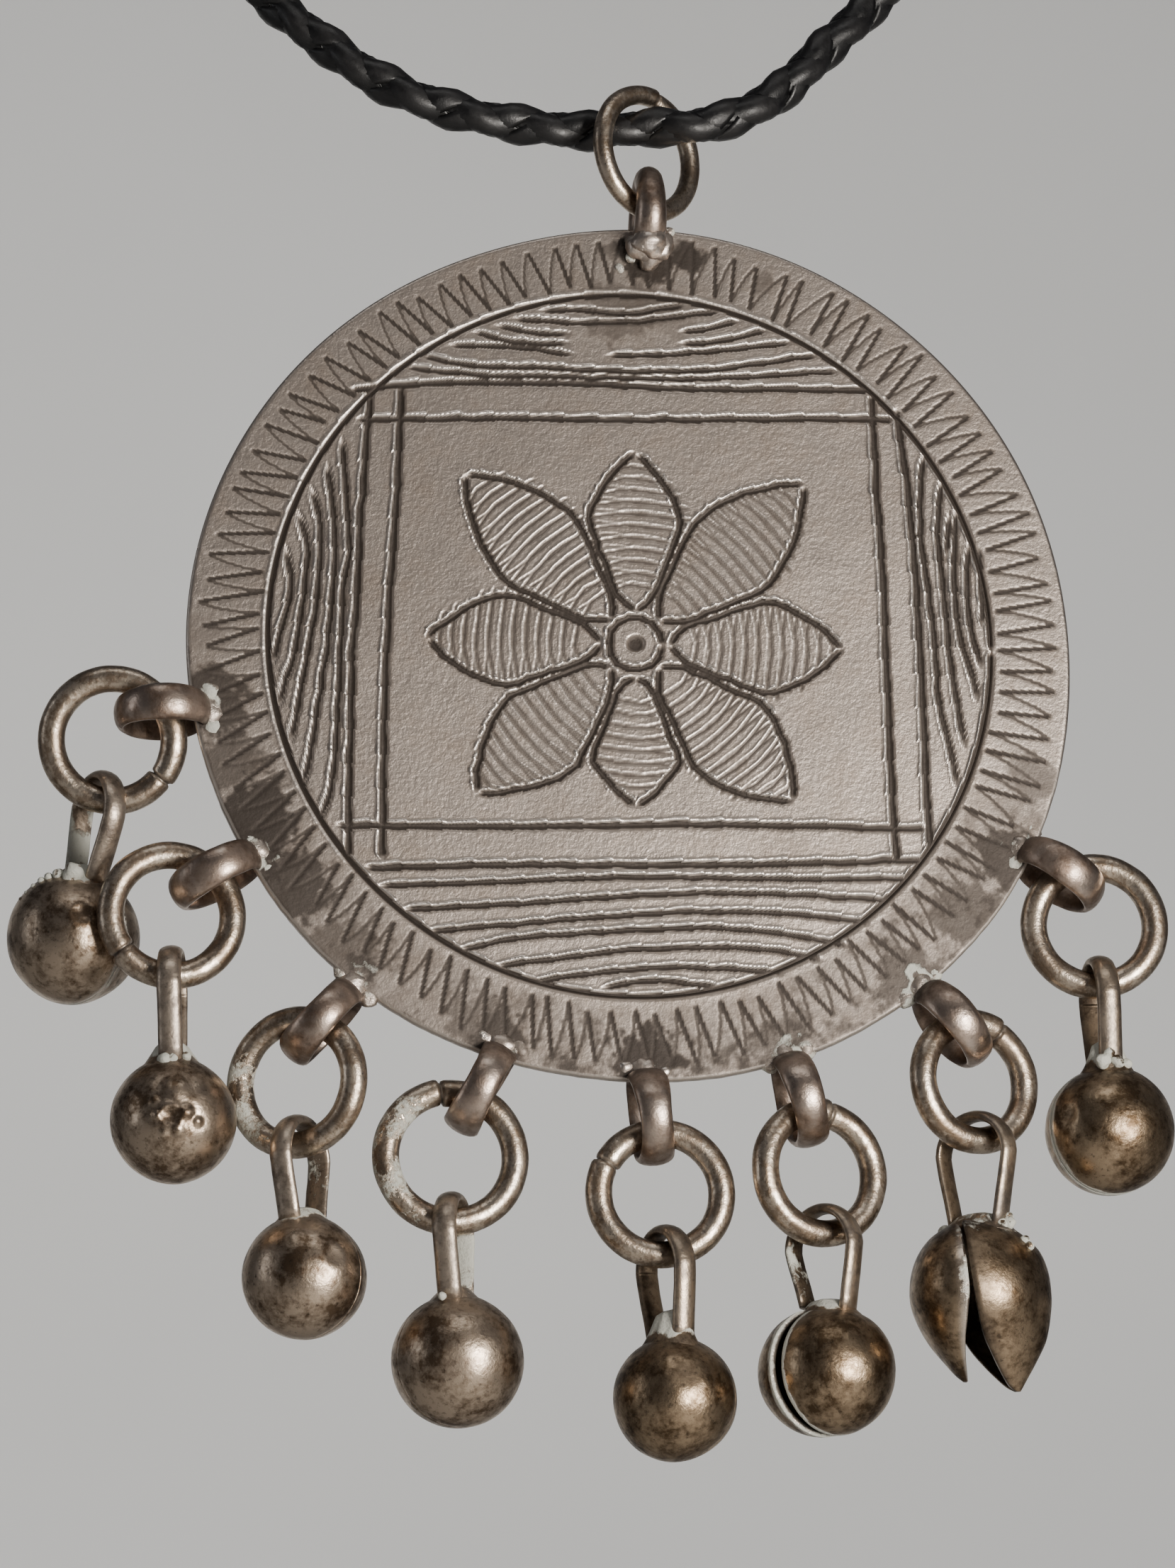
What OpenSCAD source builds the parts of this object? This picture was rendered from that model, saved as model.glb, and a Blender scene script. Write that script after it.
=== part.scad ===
// Amulet pendant: an engraved silver disc with eight ball bells, hung by a ring on a braided leather cord.
// Millimetres, +Z up, the engraved face looks along -Y, the origin is where the cord sits on the nape.

/* [Disc] */
// Diameter of the round plate
disc_d = 65.9; // [65.5:0.1:66.3]
// Thickness of the plate
disc_t = 1; // [0.8:0.1:1.6]
// Radius of the scribed circle inside the zigzag border
circle_r = 27; // [26:0.1:28]
// Depth of the engraved grooves
groove_depth = 0.15; // [0.1:0.05:0.3]
// Width of the engraved grooves
groove_w = 0.4; // [0.3:0.05:0.6]

/* [Loops on the rim] */
// Outer radius of a strap loop on the rim
loop_r = 3.6; // [3.5:0.05:3.7]
// Thickness of the strap, measured along the loop's radius
loop_t = 1.2; // [1:0.05:1.3]
// Width of the strap
loop_w = 2.6; // [2:0.1:2.8]
// Radius of the solder beads that hold each loop
solder_r = 1.2; // [1.1:0.1:1.3]
// Wire of the top loop
bail_wire = 2.3; // [2:0.1:2.4]
// Radius of the top loop, to the middle of its wire
bail_r = 2.75; // [2.7:0.05:2.85]

/* [Rings] */
// Wire of the ring that the cord runs through
hang_wire = 1.5; // [1.3:0.1:1.6]
// Radius of that ring, to the middle of its wire
hang_r = 4.55; // [4.5:0.05:4.7]
// Turn of that ring about the vertical
hang_turn = 37; // [30:1:45]
// Wire of the eight jump rings
jump_wire = 2; // [1.8:0.1:2.1]

/* [Bells] */
// Wall of the hollow balls
bell_wall = 0.5; // [0.4:0.05:0.8]
// Outer radius of the strap on a bell
strap_r = 3.3; // [3.25:0.05:3.35]
// Thickness of that strap
strap_t = 1.05; // [0.9:0.05:1.1]
// Width of that strap
strap_w = 1.8; // [1.6:0.1:1.9]
// Width of the seam between the two halves of a ball
seam_w = 0.4; // [0.3:0.05:0.8]

/* [Cord] */
// Diameter of the braided cord
cord_d = 3.3; // [3:0.1:3.5]
// Sides of the cord's tube
cord_sides = 8; // [8:1:12]
// Diameter of the barrel clasp
clasp_d = 5.4; // [5:0.1:6]
// Length of the barrel clasp
clasp_l = 16; // [16:0.1:16.4]

/* [Hidden] */
$fn = 48;

// Middle of the disc's thickness, under the point where the cord carries the ring
disc_at = [-1.4, -30, -186.6];
// The plate's middle and the scribed circle's middle, measured from disc_at
plate_mid = [0.3, 0, 0.2];
circle_mid = [0.1, 0, 0.8];
// The top loop and the ring on the cord, measured from disc_at
bail_mid = [1.4, 0, 34.3];
hang_mid = [1.4, 0.05, 39.35];
disc_r = disc_d / 2;
jump_slack = 0.15;

// Frame lines round the panel: the middle of each line, its length and its turn in the face
LINE_X = 0;
LINE_Z = 1;
LINE_LONG = 2;
LINE_TURN = 3;
FRAME = [
    [0, 21, 41.5, 2],
    [0, 18.2, 41.5, 2],
    [0.3, -13.1, 43, 1.5],
    [0.3, -16, 43, 1.5],
    [-20.4, 3.3, 34.2, 92.3],
    [-17.8, 3.4, 34.2, 91.3],
    [19.2, 4.5, 34.4, 91.8],
    [21.5, 4.5, 34.4, 92.7]
];

// One row for each drop, in degrees and millimetres from disc_at.
// AT: place of its loop round the rim. TO: the way that the loop points.
// OUT: the loop's middle past the rim.
// RING, RING_R, TURN, TIP: the jump ring's middle, radius, turn about Z and tip about X.
// BALL, BALL_R: the ball's middle and radius. STRAP: turn of its strap. SEAM: turn of its seam.
AT = 0;
TO = 1;
OUT = 2;
RING = 3;
RING_R = 4;
TURN = 5;
TIP = 6;
BALL = 7;
BALL_R = 8;
STRAP = 9;
SEAM = 10;
DROPS = [
    [189.7, 183, 2.3, [-38.1, 1.2, -7.4], 4.5, -5, 14, [-40.6, 5.1, -21.5], 4.9, -64, -40],
    [210.3, 209, 2.6, [-33.6, 0, -20.8], 4.5, 6, 0, [-33.2, 0, -36], 4.6, 83, 0],
    [231.7, 229, 3.7, [-24.3, 0.1, -33], 4.6, -30, 2, [-23.6, 0, -47.3], 4.5, 57, 0],
    [252, 243, 2.3, [-13.1, 0, -38.3], 4.75, 4, 0, [-12.5, 0, -53.2], 4.8, 72, 0],
    [271.6, 278, 2.3, [2.2, 0, -40.7], 4.5, 0, 0, [3.2, 0, -55.7], 4.5, -67, 0],
    [290.2, 287, 2.9, [13.9, 0.1, -38.9], 4.5, 21, -1, [14.6, 0, -53.5], 4.7, -47, 30],
    [310.3, 310, 3.5, [25.4, 0.1, -31.9], 4.4, 23, -1, [25.6, 0, -47.4], 5.1, -43, 90],
    [333.4, 326, 2.8, [34.6, 0, -20], 4.5, -3, 0, [35.4, 0, -35.4], 4.75, -87, 15]
];
POD = 7;

// Route of the cord, from the clasp's right end down the right side, through the ring and up the left side
ROUTE = [
    [8, 0, 0], [15.5, -0.3, -0.8], [24.5, -0.8, -3.4], [34, -1.8, -8.4],
    [43, -3.5, -16], [50.5, -5.6, -26], [55.8, -8.1, -38.5], [58.3, -10.8, -52],
    [57.8, -13.6, -65.5], [54.8, -16.2, -78.5], [49.7, -18.8, -90.5], [43.3, -21.1, -101.6],
    [36, -22.8, -111.7], [29.1, -24.5, -120], [22.7, -26.2, -127.7], [17.8, -27.6, -133.5],
    [13.9, -28.8, -137.8], [10.5, -29.8, -141.6], [7.2, -30.5, -144], [3.8, -30.7, -145.1],
    [0, -30, -145.2], [-4.5, -29.5, -145.4], [-9.5, -29.5, -145.1], [-15, -29.6, -144.1],
    [-19.8, -29.4, -142.2], [-24.6, -28.8, -138.8], [-30.2, -27.4, -133.4], [-36.8, -25.6, -125.4],
    [-43.3, -23.6, -115.2], [-49, -21.1, -102.1], [-53.8, -18.2, -87.5], [-57.2, -15.1, -72.5],
    [-58.4, -11.9, -57.5], [-57.2, -8.9, -43], [-53.3, -6.2, -30], [-46.8, -4, -19.3],
    [-38, -2.3, -11], [-28, -1.1, -4.9], [-18, -0.3, -1.4], [-8, 0, 0]
];
// Rings of the tube to each stretch of the route, and the way that the loop's plane faces
rings_each = 2;
loop_normal = [0, -0.98, 0.2];

silver = [0.62, 0.58, 0.54];
bronze = [0.45, 0.36, 0.28];
leather = [0.08, 0.07, 0.07];

// A direction in the disc's face, in degrees from +X towards +Z
function way(a) = [cos(a), 0, sin(a)];

// Outline of a flat strap with a rounded section, at radius r from its loop's middle
function strap_outline(r, t, w) = [for (a = [0:30:330]) [r - t / 2 + t / 2 * cos(a), w / 2 * sin(a)]];

function unit(v) = v / norm(v);

// A point of the smooth curve through a, b, c, d, between b and c
function curve_point(a, b, c, d, t) =
    b + (c - a) * t / 2
    + (2 * a - 5 * b + 4 * c - d) * pow(t, 2) / 2
    + (3 * b - a - 3 * c + d) * pow(t, 3) / 2;

// The route, filled in with points on one smooth curve
function smooth_route(p, last = len(ROUTE) - 1) = concat(
    [for (i = [0:last - 1], k = [0:rings_each - 1])
        curve_point(
            i > 0 ? p[i - 1] : 2 * p[0] - p[1],
            p[i],
            p[i + 1],
            i + 2 <= last ? p[i + 2] : 2 * p[last] - p[last - 1],
            k / rings_each
        )],
    [p[last]]
);

// Way of a path at its point i: along X at both ends, where it meets the clasp
function heading(path, i) =
    (i == 0 || i == len(path) - 1) ? [1, 0, 0] : unit(path[i + 1] - path[i - 1]);

// One ring of the tube's corners
function tube_ring(at, along, r) =
    let (side = unit(loop_normal - (loop_normal * along) * along), up = cross(along, side))
    [for (a = [0:360 / cord_sides:359]) at + r * (cos(a) * side + sin(a) * up)];

// A hoop of round wire that stands in the disc's plane, turned about Z and tipped about X
module hoop(r, wire, turn = 0, tip = 0) {
    rotate([tip, 0, turn])
        rotate([90, 0, 0])
            rotate_extrude()
                translate([r, 0])
                    circle(d = wire);
}

// A strap loop that stands in the XZ plane
module strap_loop(r, t, w) {
    rotate([90, 0, 0])
        rotate_extrude()
            polygon(strap_outline(r, t, w));
}

// Grooves of the scribed circle and the frame lines, sunk into the front face
module engraved_lines() {
    translate(circle_mid + [0, -disc_t / 2, 0])
        rotate([90, 0, 0])
            difference() {
                cylinder(r = circle_r + groove_w / 2, h = 2 * groove_depth, center = true);
                cylinder(r = circle_r - groove_w / 2, h = 4 * groove_depth, center = true);
            }
    for (line = FRAME)
        translate([line[LINE_X], -disc_t / 2, line[LINE_Z]])
            rotate([0, -line[LINE_TURN], 0])
                cube([line[LINE_LONG], 2 * groove_depth, groove_w], center = true);
}

// The plate with its grooves
module plate() {
    difference() {
        translate(plate_mid)
            rotate([90, 0, 0])
                cylinder(r = disc_r, h = disc_t, center = true, $fn = 96);
        engraved_lines();
    }
}

// One loop on the rim with its two solder beads
module rim_loop(drop) {
    rim = plate_mid + disc_r * way(drop[AT]);
    // The loop stands across the plate: its axis lies in the disc's face
    translate(rim + drop[OUT] * way(drop[TO]))
        rotate([0, -drop[TO] - 90, 0])
            rotate([0, 0, 90])
                strap_loop(loop_r, loop_t, loop_w);
    for (side = [-0.6, 0.6])
        translate(rim + (drop[OUT] - loop_r + 0.1) * way(drop[TO]) + side * way(drop[AT] + 90))
            sphere(r = solder_r);
}

// The top loop with its solder
module bail() {
    translate(bail_mid)
        hoop(bail_r, bail_wire, 90);
    translate([bail_mid[0], 0, plate_mid[2] + disc_r - 1.4])
        sphere(r = solder_r + 0.4);
}

module disc() {
    color(silver)
        translate(disc_at)
            union() {
                plate();
                bail();
                for (drop = DROPS)
                    rim_loop(drop);
            }
}

module hanging_ring() {
    color(silver)
        translate(disc_at + hang_mid)
            hoop(hang_r, hang_wire, hang_turn);
}

module jump_ring(n) {
    drop = DROPS[n - 1];
    color(silver)
        translate(disc_at + drop[RING])
            hoop(drop[RING_R], jump_wire, drop[TURN], drop[TIP]);
}

// A closed ball of two halves, with a seam up both sides
module ball_shell(r, seam_turn) {
    difference() {
        union() {
            sphere(r = r);
            children();
        }
        sphere(r = r - bell_wall);
        rotate([0, 0, seam_turn])
            translate([0, 0, -r])
                cube([3 * r, seam_w, 2.3 * r], center = true);
    }
}

// Half outline of the open pod: a round top and a longer, narrowing foot
function pod_outline(r, foot) = concat(
    [for (a = [0:15:90]) [r * sin(a), r * cos(a)]],
    [for (a = [105:15:180]) [r * sin(a), foot * cos(a)]]
);

// An open pod of two petals, parted by a slit that widens downward
module pod_shell(r) {
    foot = 1.22 * r;
    difference() {
        union() {
            rotate_extrude()
                polygon(pod_outline(r, foot));
            children();
        }
        rotate_extrude()
            polygon(pod_outline(r - bell_wall, foot - bell_wall));
        rotate([90, 0, 0])
            linear_extrude(3 * r, center = true)
                polygon([[-0.5, 0.7 * r], [-0.3, 0.7 * r], [2.1, -1.5 * r], [-1.7, -1.5 * r]]);
        for (side = [0, 1])
            mirror([0, side, 0])
                rotate([90, 0, 90])
                    linear_extrude(3 * r, center = true)
                        polygon([[0.3, -foot], [r + 1, -0.35 * r], [r + 1, -2 * r], [0.3, -2 * r]]);
    }
}

// A bell: local +Z points from the ball's middle to its jump ring
module bell(n) {
    drop = DROPS[n - 1];
    reach = drop[RING] - drop[BALL];
    long = norm(reach);
    // The strap's middle hangs a little under the jump ring's wire
    strap_at = long - drop[RING_R] - (strap_r - strap_t - jump_wire / 2 - jump_slack);
    neck_top = strap_at - strap_r + strap_t / 2;
    neck_foot = drop[BALL_R] * 0.86;
    color(bronze)
        translate(disc_at + drop[BALL])
            rotate([asin(-reach[1] / long), atan2(reach[0], reach[2]), 0])
                union() {
                    if (n == POD)
                        pod_shell(drop[BALL_R])
                            bell_neck(neck_foot, neck_top, drop[BALL_R]);
                    else
                        ball_shell(drop[BALL_R], drop[SEAM])
                            bell_neck(neck_foot, neck_top, drop[BALL_R]);
                    translate([0, 0, strap_at])
                        rotate([0, 0, drop[STRAP]])
                            strap_loop(strap_r, strap_t, strap_w);
                }
}

// The cone of solder between a ball and its strap
module bell_neck(foot, top, r) {
    translate([0, 0, foot])
        cylinder(r1 = r * 0.5, r2 = strap_w * 0.62, h = top - foot);
}

module cord() {
    path = smooth_route(ROUTE);
    last = len(path) - 1;
    corners = [for (i = [0:last], p = tube_ring(path[i], heading(path, i), cord_d / 2)) p];
    sides = [for (i = [0:last - 1], k = [0:cord_sides - 1])
        let (next = (k + 1) % cord_sides)
        [i * cord_sides + k, i * cord_sides + next, (i + 1) * cord_sides + next, (i + 1) * cord_sides + k]];
    ends = [
        [for (k = [cord_sides - 1:-1:0]) k],
        [for (k = [0:cord_sides - 1]) last * cord_sides + k]
    ];
    color(leather)
        polyhedron(points = corners, faces = concat(sides, ends), convexity = 6);
}

// A plain barrel with turned-down ends, along X at the nape
module clasp() {
    chamfer = 0.6;
    color(silver)
        rotate([0, 90, 0])
            rotate_extrude()
                polygon([
                    [0, -clasp_l / 2],
                    [clasp_d / 2 - chamfer, -clasp_l / 2],
                    [clasp_d / 2, -clasp_l / 2 + chamfer],
                    [clasp_d / 2, clasp_l / 2 - chamfer],
                    [clasp_d / 2 - chamfer, clasp_l / 2],
                    [0, clasp_l / 2]
                ]);
}

cord();
clasp();
hanging_ring();
disc();
jump_ring(1);  // jump_ring_1
jump_ring(2);  // jump_ring_2
jump_ring(3);  // jump_ring_3
jump_ring(4);  // jump_ring_4
jump_ring(5);  // jump_ring_5
jump_ring(6);  // jump_ring_6
jump_ring(7);  // jump_ring_7
jump_ring(8);  // jump_ring_8
bell(1);  // bell_1
bell(2);  // bell_2
bell(3);  // bell_3
bell(4);  // bell_4
bell(5);  // bell_5
bell(6);  // bell_6
bell(7);  // bell_7
bell(8);  // bell_8
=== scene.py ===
"""Looks of an amulet pendant: an engraved silver disc with ball bells, on a braided leather cord.

Lengths are millimetres from the middle of the disc, +X right, -Y towards the front, +Z up. Skin.make moves
them to their place in the frame and turns them into metres.
"""
import logging
import math
from dataclasses import dataclass, field
from enum import Enum
from itertools import pairwise, product

import bpy
import numpy as np
from mathutils import Matrix, Vector


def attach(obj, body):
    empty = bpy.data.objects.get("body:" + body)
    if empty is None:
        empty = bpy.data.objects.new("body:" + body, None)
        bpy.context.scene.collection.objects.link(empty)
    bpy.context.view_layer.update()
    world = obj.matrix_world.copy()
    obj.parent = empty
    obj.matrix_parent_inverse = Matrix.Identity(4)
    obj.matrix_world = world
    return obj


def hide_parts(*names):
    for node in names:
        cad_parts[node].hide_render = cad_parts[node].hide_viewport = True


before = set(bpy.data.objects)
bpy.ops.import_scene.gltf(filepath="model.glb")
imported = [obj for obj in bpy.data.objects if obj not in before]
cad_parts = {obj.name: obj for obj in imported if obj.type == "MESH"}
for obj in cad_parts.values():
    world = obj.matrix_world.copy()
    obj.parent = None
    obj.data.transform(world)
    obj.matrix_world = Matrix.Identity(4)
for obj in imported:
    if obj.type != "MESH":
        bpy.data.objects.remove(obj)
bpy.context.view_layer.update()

MM = 0.001
FULL = 2 * math.pi
FRONT = np.array([0.0, -1.0, 0.0])
UP = np.array([0.0, 0.0, 1.0])
# The disc's middle in the frame, in millimetres
PLACE = np.array([-1.4, -30.0, -186.6])
# Values of wear and painted light of a point: dark (dirt, stains and painted shade), pale (corrosion, with a
# painted highlight on the pod's slit edge) and bright (rubbed metal and painted highlights), from 0 to 1
PLAIN = np.zeros(3)
DARK_ONLY = np.array([1.0, 0.0, 0.0])
Socket = bpy.types.NodeSocket
Colour = tuple[float, float, float]
Place = tuple[float, float, float]
LOG = logging.getLogger("amulet")


class Body(Enum):
    """The rigid bodies that a piece can ride on."""

    ROOT = "root"
    RING = "ring"
    PENDANT = "pendant"


class Slot(Enum):
    """The record's material slots."""

    CORD = "cord_leather"
    CLASP = "clasp_silver"
    RING = "ring_silver"
    DISC = "disc_silver"
    BELL = "bell_silver"


def stacked(*parts: np.ndarray | float) -> np.ndarray:
    """Values that fit one arrangement, side by side along a new last axis."""
    return np.stack(np.broadcast_arrays(*parts), axis=-1)


def unit(vectors: np.ndarray) -> np.ndarray:
    """Vectors of length 1 in the same directions."""
    return vectors / np.linalg.norm(vectors, axis=-1, keepdims=True)


def turns(count: int) -> np.ndarray:
    """Even steps of a full turn, in radians from 0 on, the last one left out."""
    return np.arange(count) * FULL / count


def spokes(angle: np.ndarray, first: np.ndarray, second: np.ndarray) -> np.ndarray:
    """Directions in a plane: the first one times the angle's cosine plus the second one times its sine."""
    return np.cos(angle)[..., None] * first + np.sin(angle)[..., None] * second


def way(degrees: float) -> np.ndarray:
    """Direction in the disc's face: (cosine, 0, sine) of the angle from +X towards +Z."""
    angle = math.radians(degrees)
    return stacked(math.cos(angle), 0.0, math.sin(angle))


def seen_from(azimuth: float, elevation: float) -> np.ndarray:
    """Direction from the disc to the camera or a lamp: degrees from the front to the right, and upwards."""
    az, el = math.radians(azimuth), math.radians(elevation)
    return np.array([math.sin(az) * math.cos(el), -math.cos(az) * math.cos(el), math.sin(el)])


def linked(name: str, data: bpy.types.ID) -> bpy.types.Object:
    """A new object of the scene with the given data.

    Args:
        name: Name of the object.
        data: Its mesh, light or camera.

    Returns:
        The object.
    """
    made = bpy.data.objects.new(name, data)
    bpy.context.scene.collection.objects.link(made)
    return made


def turned(x: float = 0.0, y: float = 0.0, z: float = 0.0) -> np.ndarray:
    """Matrix that turns about X, then about Y, then about Z, in degrees."""
    turn = Matrix.Rotation(math.radians(z), 3, "Z") @ Matrix.Rotation(math.radians(y), 3, "Y")
    return np.array(turn @ Matrix.Rotation(math.radians(x), 3, "X"))


def smooth_step(value: np.ndarray, low: float, high: float) -> np.ndarray:
    """0 below low, 1 above high, and the cubic 3t^2 - 2t^3 between them."""
    t = np.clip((value - low) / (high - low), 0, 1)
    return t * t * (3 - 2 * t)


def bump_at(value: np.ndarray, middle: float, width: float) -> np.ndarray:
    """Bell curve: e to the minus square of the distance from the middle over the width."""
    return np.exp(-(((value - middle) / width) ** 2))


class Lumps:
    """Smooth random lumps: random values on a cubic lattice, blended between the corners of each cell."""

    def __init__(self, seed: int) -> None:
        """Fills the lattice.

        Args:
            seed: Start of the random values, so that each run gives the same lumps.
        """
        self.table = np.random.default_rng(seed).uniform(-1, 1, (32, 32, 32))

    def at(self, points: np.ndarray, size: float) -> np.ndarray:
        """Height of the lumps.

        Args:
            points: Places, with x, y and z on the last axis.
            size: Width of one cell of the lattice.

        Returns:
            Values from -1 to 1, one for each place.
        """
        scaled = points / size
        cell = np.floor(scaled).astype(int)
        part = scaled - cell
        part = part * part * (3 - 2 * part)
        total = np.zeros(points.shape[:-1])
        for corner in product((0, 1), repeat=3):
            index = (cell + corner) % 32
            weight = np.where(corner, part, 1 - part).prod(axis=-1)
            total += weight * self.table[index[..., 0], index[..., 1], index[..., 2]]
        return total

    def rough(self, points: np.ndarray, size: float) -> np.ndarray:
        """Lumps of three sizes added up, each half as large and half as high as the one before."""
        return sum(self.at(points, size / 2**k) / 2**k for k in range(3)) / 1.75


LUMPS = Lumps(7)


@dataclass
class Skin:
    """Points, faces and values of wear and painted light of one mesh while it is put together."""

    points: list[np.ndarray] = field(default_factory=list)
    wear_and_light: list[np.ndarray] = field(default_factory=list)
    quads: list[np.ndarray] = field(default_factory=list)
    fans: list[np.ndarray] = field(default_factory=list)
    normals: list[np.ndarray] = field(default_factory=list)
    count: int = 0

    def add_points(self, points: np.ndarray, wear_and_light: np.ndarray = PLAIN) -> np.ndarray:
        """Adds points and returns their numbers in the same arrangement.

        Args:
            points: Places with x, y and z on the last axis.
            wear_and_light: Dark, pale and bright values of wear and painted light, from 0 to 1, one set for
                each point or one for all.

        Returns:
            The number of each point in the mesh.
        """
        flat = points.reshape(-1, 3)
        numbers = self.count + np.arange(len(flat)).reshape(points.shape[:-1])
        self.points.append(flat)
        self.wear_and_light.append(np.clip(np.broadcast_to(wear_and_light, points.shape).reshape(-1, 3), 0, 1))
        self.count += len(flat)
        return numbers

    def add_faces(self, quads: np.ndarray, fans: np.ndarray | None = None) -> None:
        """Adds the faces of one closed shell, turned outwards by the sign of its volume.

        Args:
            quads: Point numbers of the four-sided faces.
            fans: Point numbers of the three-sided faces, or None.
        """
        fans = np.zeros((0, 3), int) if fans is None else fans
        place = np.concatenate(self.points)
        halves = np.concatenate([quads[:, [0, 1, 2]], quads[:, [0, 2, 3]], fans])
        a, b, c = (place[halves[:, k]] for k in range(3))
        if np.einsum("ij,ij->", a, np.cross(b, c)) < 0:
            quads, fans = quads[:, ::-1], fans[:, ::-1]
        self.quads.append(quads)
        self.fans.append(fans)

    def add_tube(self, grid: np.ndarray, wear_and_light: np.ndarray, ring: bool = False) -> None:
        """Adds a closed shell from sections carried along a path.

        Args:
            grid: Sections by points round a section by 3. Each section is a closed loop.
            wear_and_light: Values of wear and painted light that fit the same arrangement.
            ring: True where the last section meets the first one again, else both ends get a fan.
        """
        wear_and_light = np.broadcast_to(wear_and_light, grid.shape)
        numbers = self.add_points(grid, wear_and_light)
        loops = np.hstack([numbers, numbers[:, :1]])
        if ring:
            self.add_faces(grid_quads(np.vstack([loops, loops[:1]])))
            return
        ends = self.add_points(grid[[0, -1]].mean(axis=1), wear_and_light[[0, -1]].mean(axis=1))
        fans = np.concatenate([fan(ends[0], loops[0]), fan(ends[1], loops[-1])[:, ::-1]])
        self.add_faces(grid_quads(loops), fans)

    def add_slab(self, face: np.ndarray, wear_and_light: np.ndarray, normals: np.ndarray, drop: float) -> None:
        """Adds a face grid with walls that go straight back from its edge, closed behind by a fan.

        The face keeps the normals that it is given up to its edge, so two slabs side by side look like one.

        Args:
            face: Rows by columns by 3.
            wear_and_light: Values of wear and painted light of the same arrangement.
            normals: Outward directions of the same arrangement.
            drop: How far the walls go back, along +Y.
        """
        numbers = self.add_points(face, wear_and_light)
        low = edge_of(face)[:-1]
        low[:, 1] = face[..., 1].mean() + drop
        foot = self.add_points(low)
        foot = np.append(foot, foot[0])
        middle = self.add_points(low.mean(axis=0))
        walls = grid_quads(np.stack([foot, edge_of(numbers)]))
        self.add_faces(np.concatenate([grid_quads(numbers), walls]), fan(middle, foot))
        self.normals += [normals.reshape(-1, 3), np.tile(-FRONT, (len(low) + 1, 1))]

    def add_wall(self, outer: np.ndarray, inner: np.ndarray, wear_and_light: np.ndarray, dark: float) -> None:
        """Adds a shell with a thickness, from two grids that are joined along all four edges.

        Args:
            outer: Rows by columns by 3, the outside.
            inner: The inside, of the same arrangement.
            wear_and_light: Values of wear and painted light of the outside.
            dark: How dark the inside is.
        """
        outside, inside = self.add_points(outer, wear_and_light), self.add_points(inner, dark * DARK_ONLY)
        joint = grid_quads(np.stack([edge_of(inside), edge_of(outside)]))
        self.add_faces(np.concatenate([grid_quads(outside), grid_quads(inside)[:, ::-1], joint]))

    def make(
        self, name: str, finish: bpy.types.Material, body: Body, slot: Slot, node: str
    ) -> bpy.types.Object:
        """Turns what was gathered into a shaded object in its place in the frame.

        Args:
            name: Name of the object.
            finish: Its material.
            body: The body that it rides on.
            slot: The record's material slot; not used.
            node: The CAD node that it stands for.

        Returns:
            The object.
        """
        quads, fans = np.concatenate(self.quads), np.concatenate(self.fans)
        mesh = bpy.data.meshes.new(name)
        mesh.vertices.add(self.count)
        mesh.vertices.foreach_set("co", ((np.concatenate(self.points) + PLACE) * MM).ravel())
        mesh.loops.add(quads.size + fans.size)
        mesh.loops.foreach_set("vertex_index", np.concatenate([quads.ravel(), fans.ravel()]))
        sizes = np.repeat([4, 3], [len(quads), len(fans)])
        mesh.polygons.add(len(sizes))
        mesh.polygons.foreach_set("loop_start", np.cumsum(sizes) - sizes)
        mesh.polygons.foreach_set("use_smooth", np.ones(len(sizes), bool))
        mesh.update(calc_edges=True)
        if self.normals:
            mesh.normals_split_custom_set_from_vertices(np.concatenate(self.normals).tolist())
        colour = mesh.color_attributes.new("wear_and_light", "FLOAT_COLOR", "POINT")
        values = np.column_stack([np.concatenate(self.wear_and_light), np.ones(self.count)])
        colour.data.foreach_set("color", values.astype(np.float32).ravel())
        mesh.materials.append(finish)
        piece = linked(name, mesh)
        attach(piece, body.value)
        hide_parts(node)
        LOG.info("%s: %d faces on %s", name, len(sizes), body.value)
        return piece


def grid_quads(numbers: np.ndarray) -> np.ndarray:
    """Four-sided faces between neighbouring rows and columns of point numbers."""
    return stacked(numbers[:-1, :-1], numbers[:-1, 1:], numbers[1:, 1:], numbers[1:, :-1]).reshape(-1, 4)


def fan(middle: int, edge: np.ndarray) -> np.ndarray:
    """Three-sided faces between a middle point and an edge that ends where it starts."""
    return stacked(middle, edge[1:], edge[:-1])


def edge_of(grid: np.ndarray) -> np.ndarray:
    """What stands along a grid's edge, once round and back to the first corner."""
    return np.concatenate([grid[0, :-1], grid[:-1, -1], grid[-1, :0:-1], grid[::-1, 0]])


def run_along(path: np.ndarray) -> np.ndarray:
    """How far along a path each of its points lies."""
    return np.append(0, np.cumsum(np.linalg.norm(np.diff(path, axis=0), axis=1)))


def points_at(path: np.ndarray, run: np.ndarray, places: np.ndarray) -> np.ndarray:
    """Points of a path at given places along it, straight between its own."""
    return np.stack([np.interp(places, run, column) for column in path.T], axis=1)


def swept(
    track: np.ndarray, out: np.ndarray, across: np.ndarray, rise: np.ndarray, side: np.ndarray
) -> np.ndarray:
    """Sections carried along a path: track + rise times out + side times across.

    Args:
        track: Points of the path.
        out: Direction of a section's height at each of them.
        across: Direction of its width, one for all or one for each.
        rise: Heights of a section's points, one row for all or one for each.
        side: Places of a section's points along its width, likewise.

    Returns:
        Sections by points by 3.
    """
    across = np.broadcast_to(across, out.shape)
    return track[:, None] + rise[..., None] * out[:, None] + side[..., None] * across[:, None]


def domed(turn: np.ndarray, inner: float) -> np.ndarray:
    """Heights round an oval section: the cosine, with its lower half made flatter by a share."""
    return np.cos(turn) * np.where(np.cos(turn) < 0, inner, 1.0)


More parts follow.
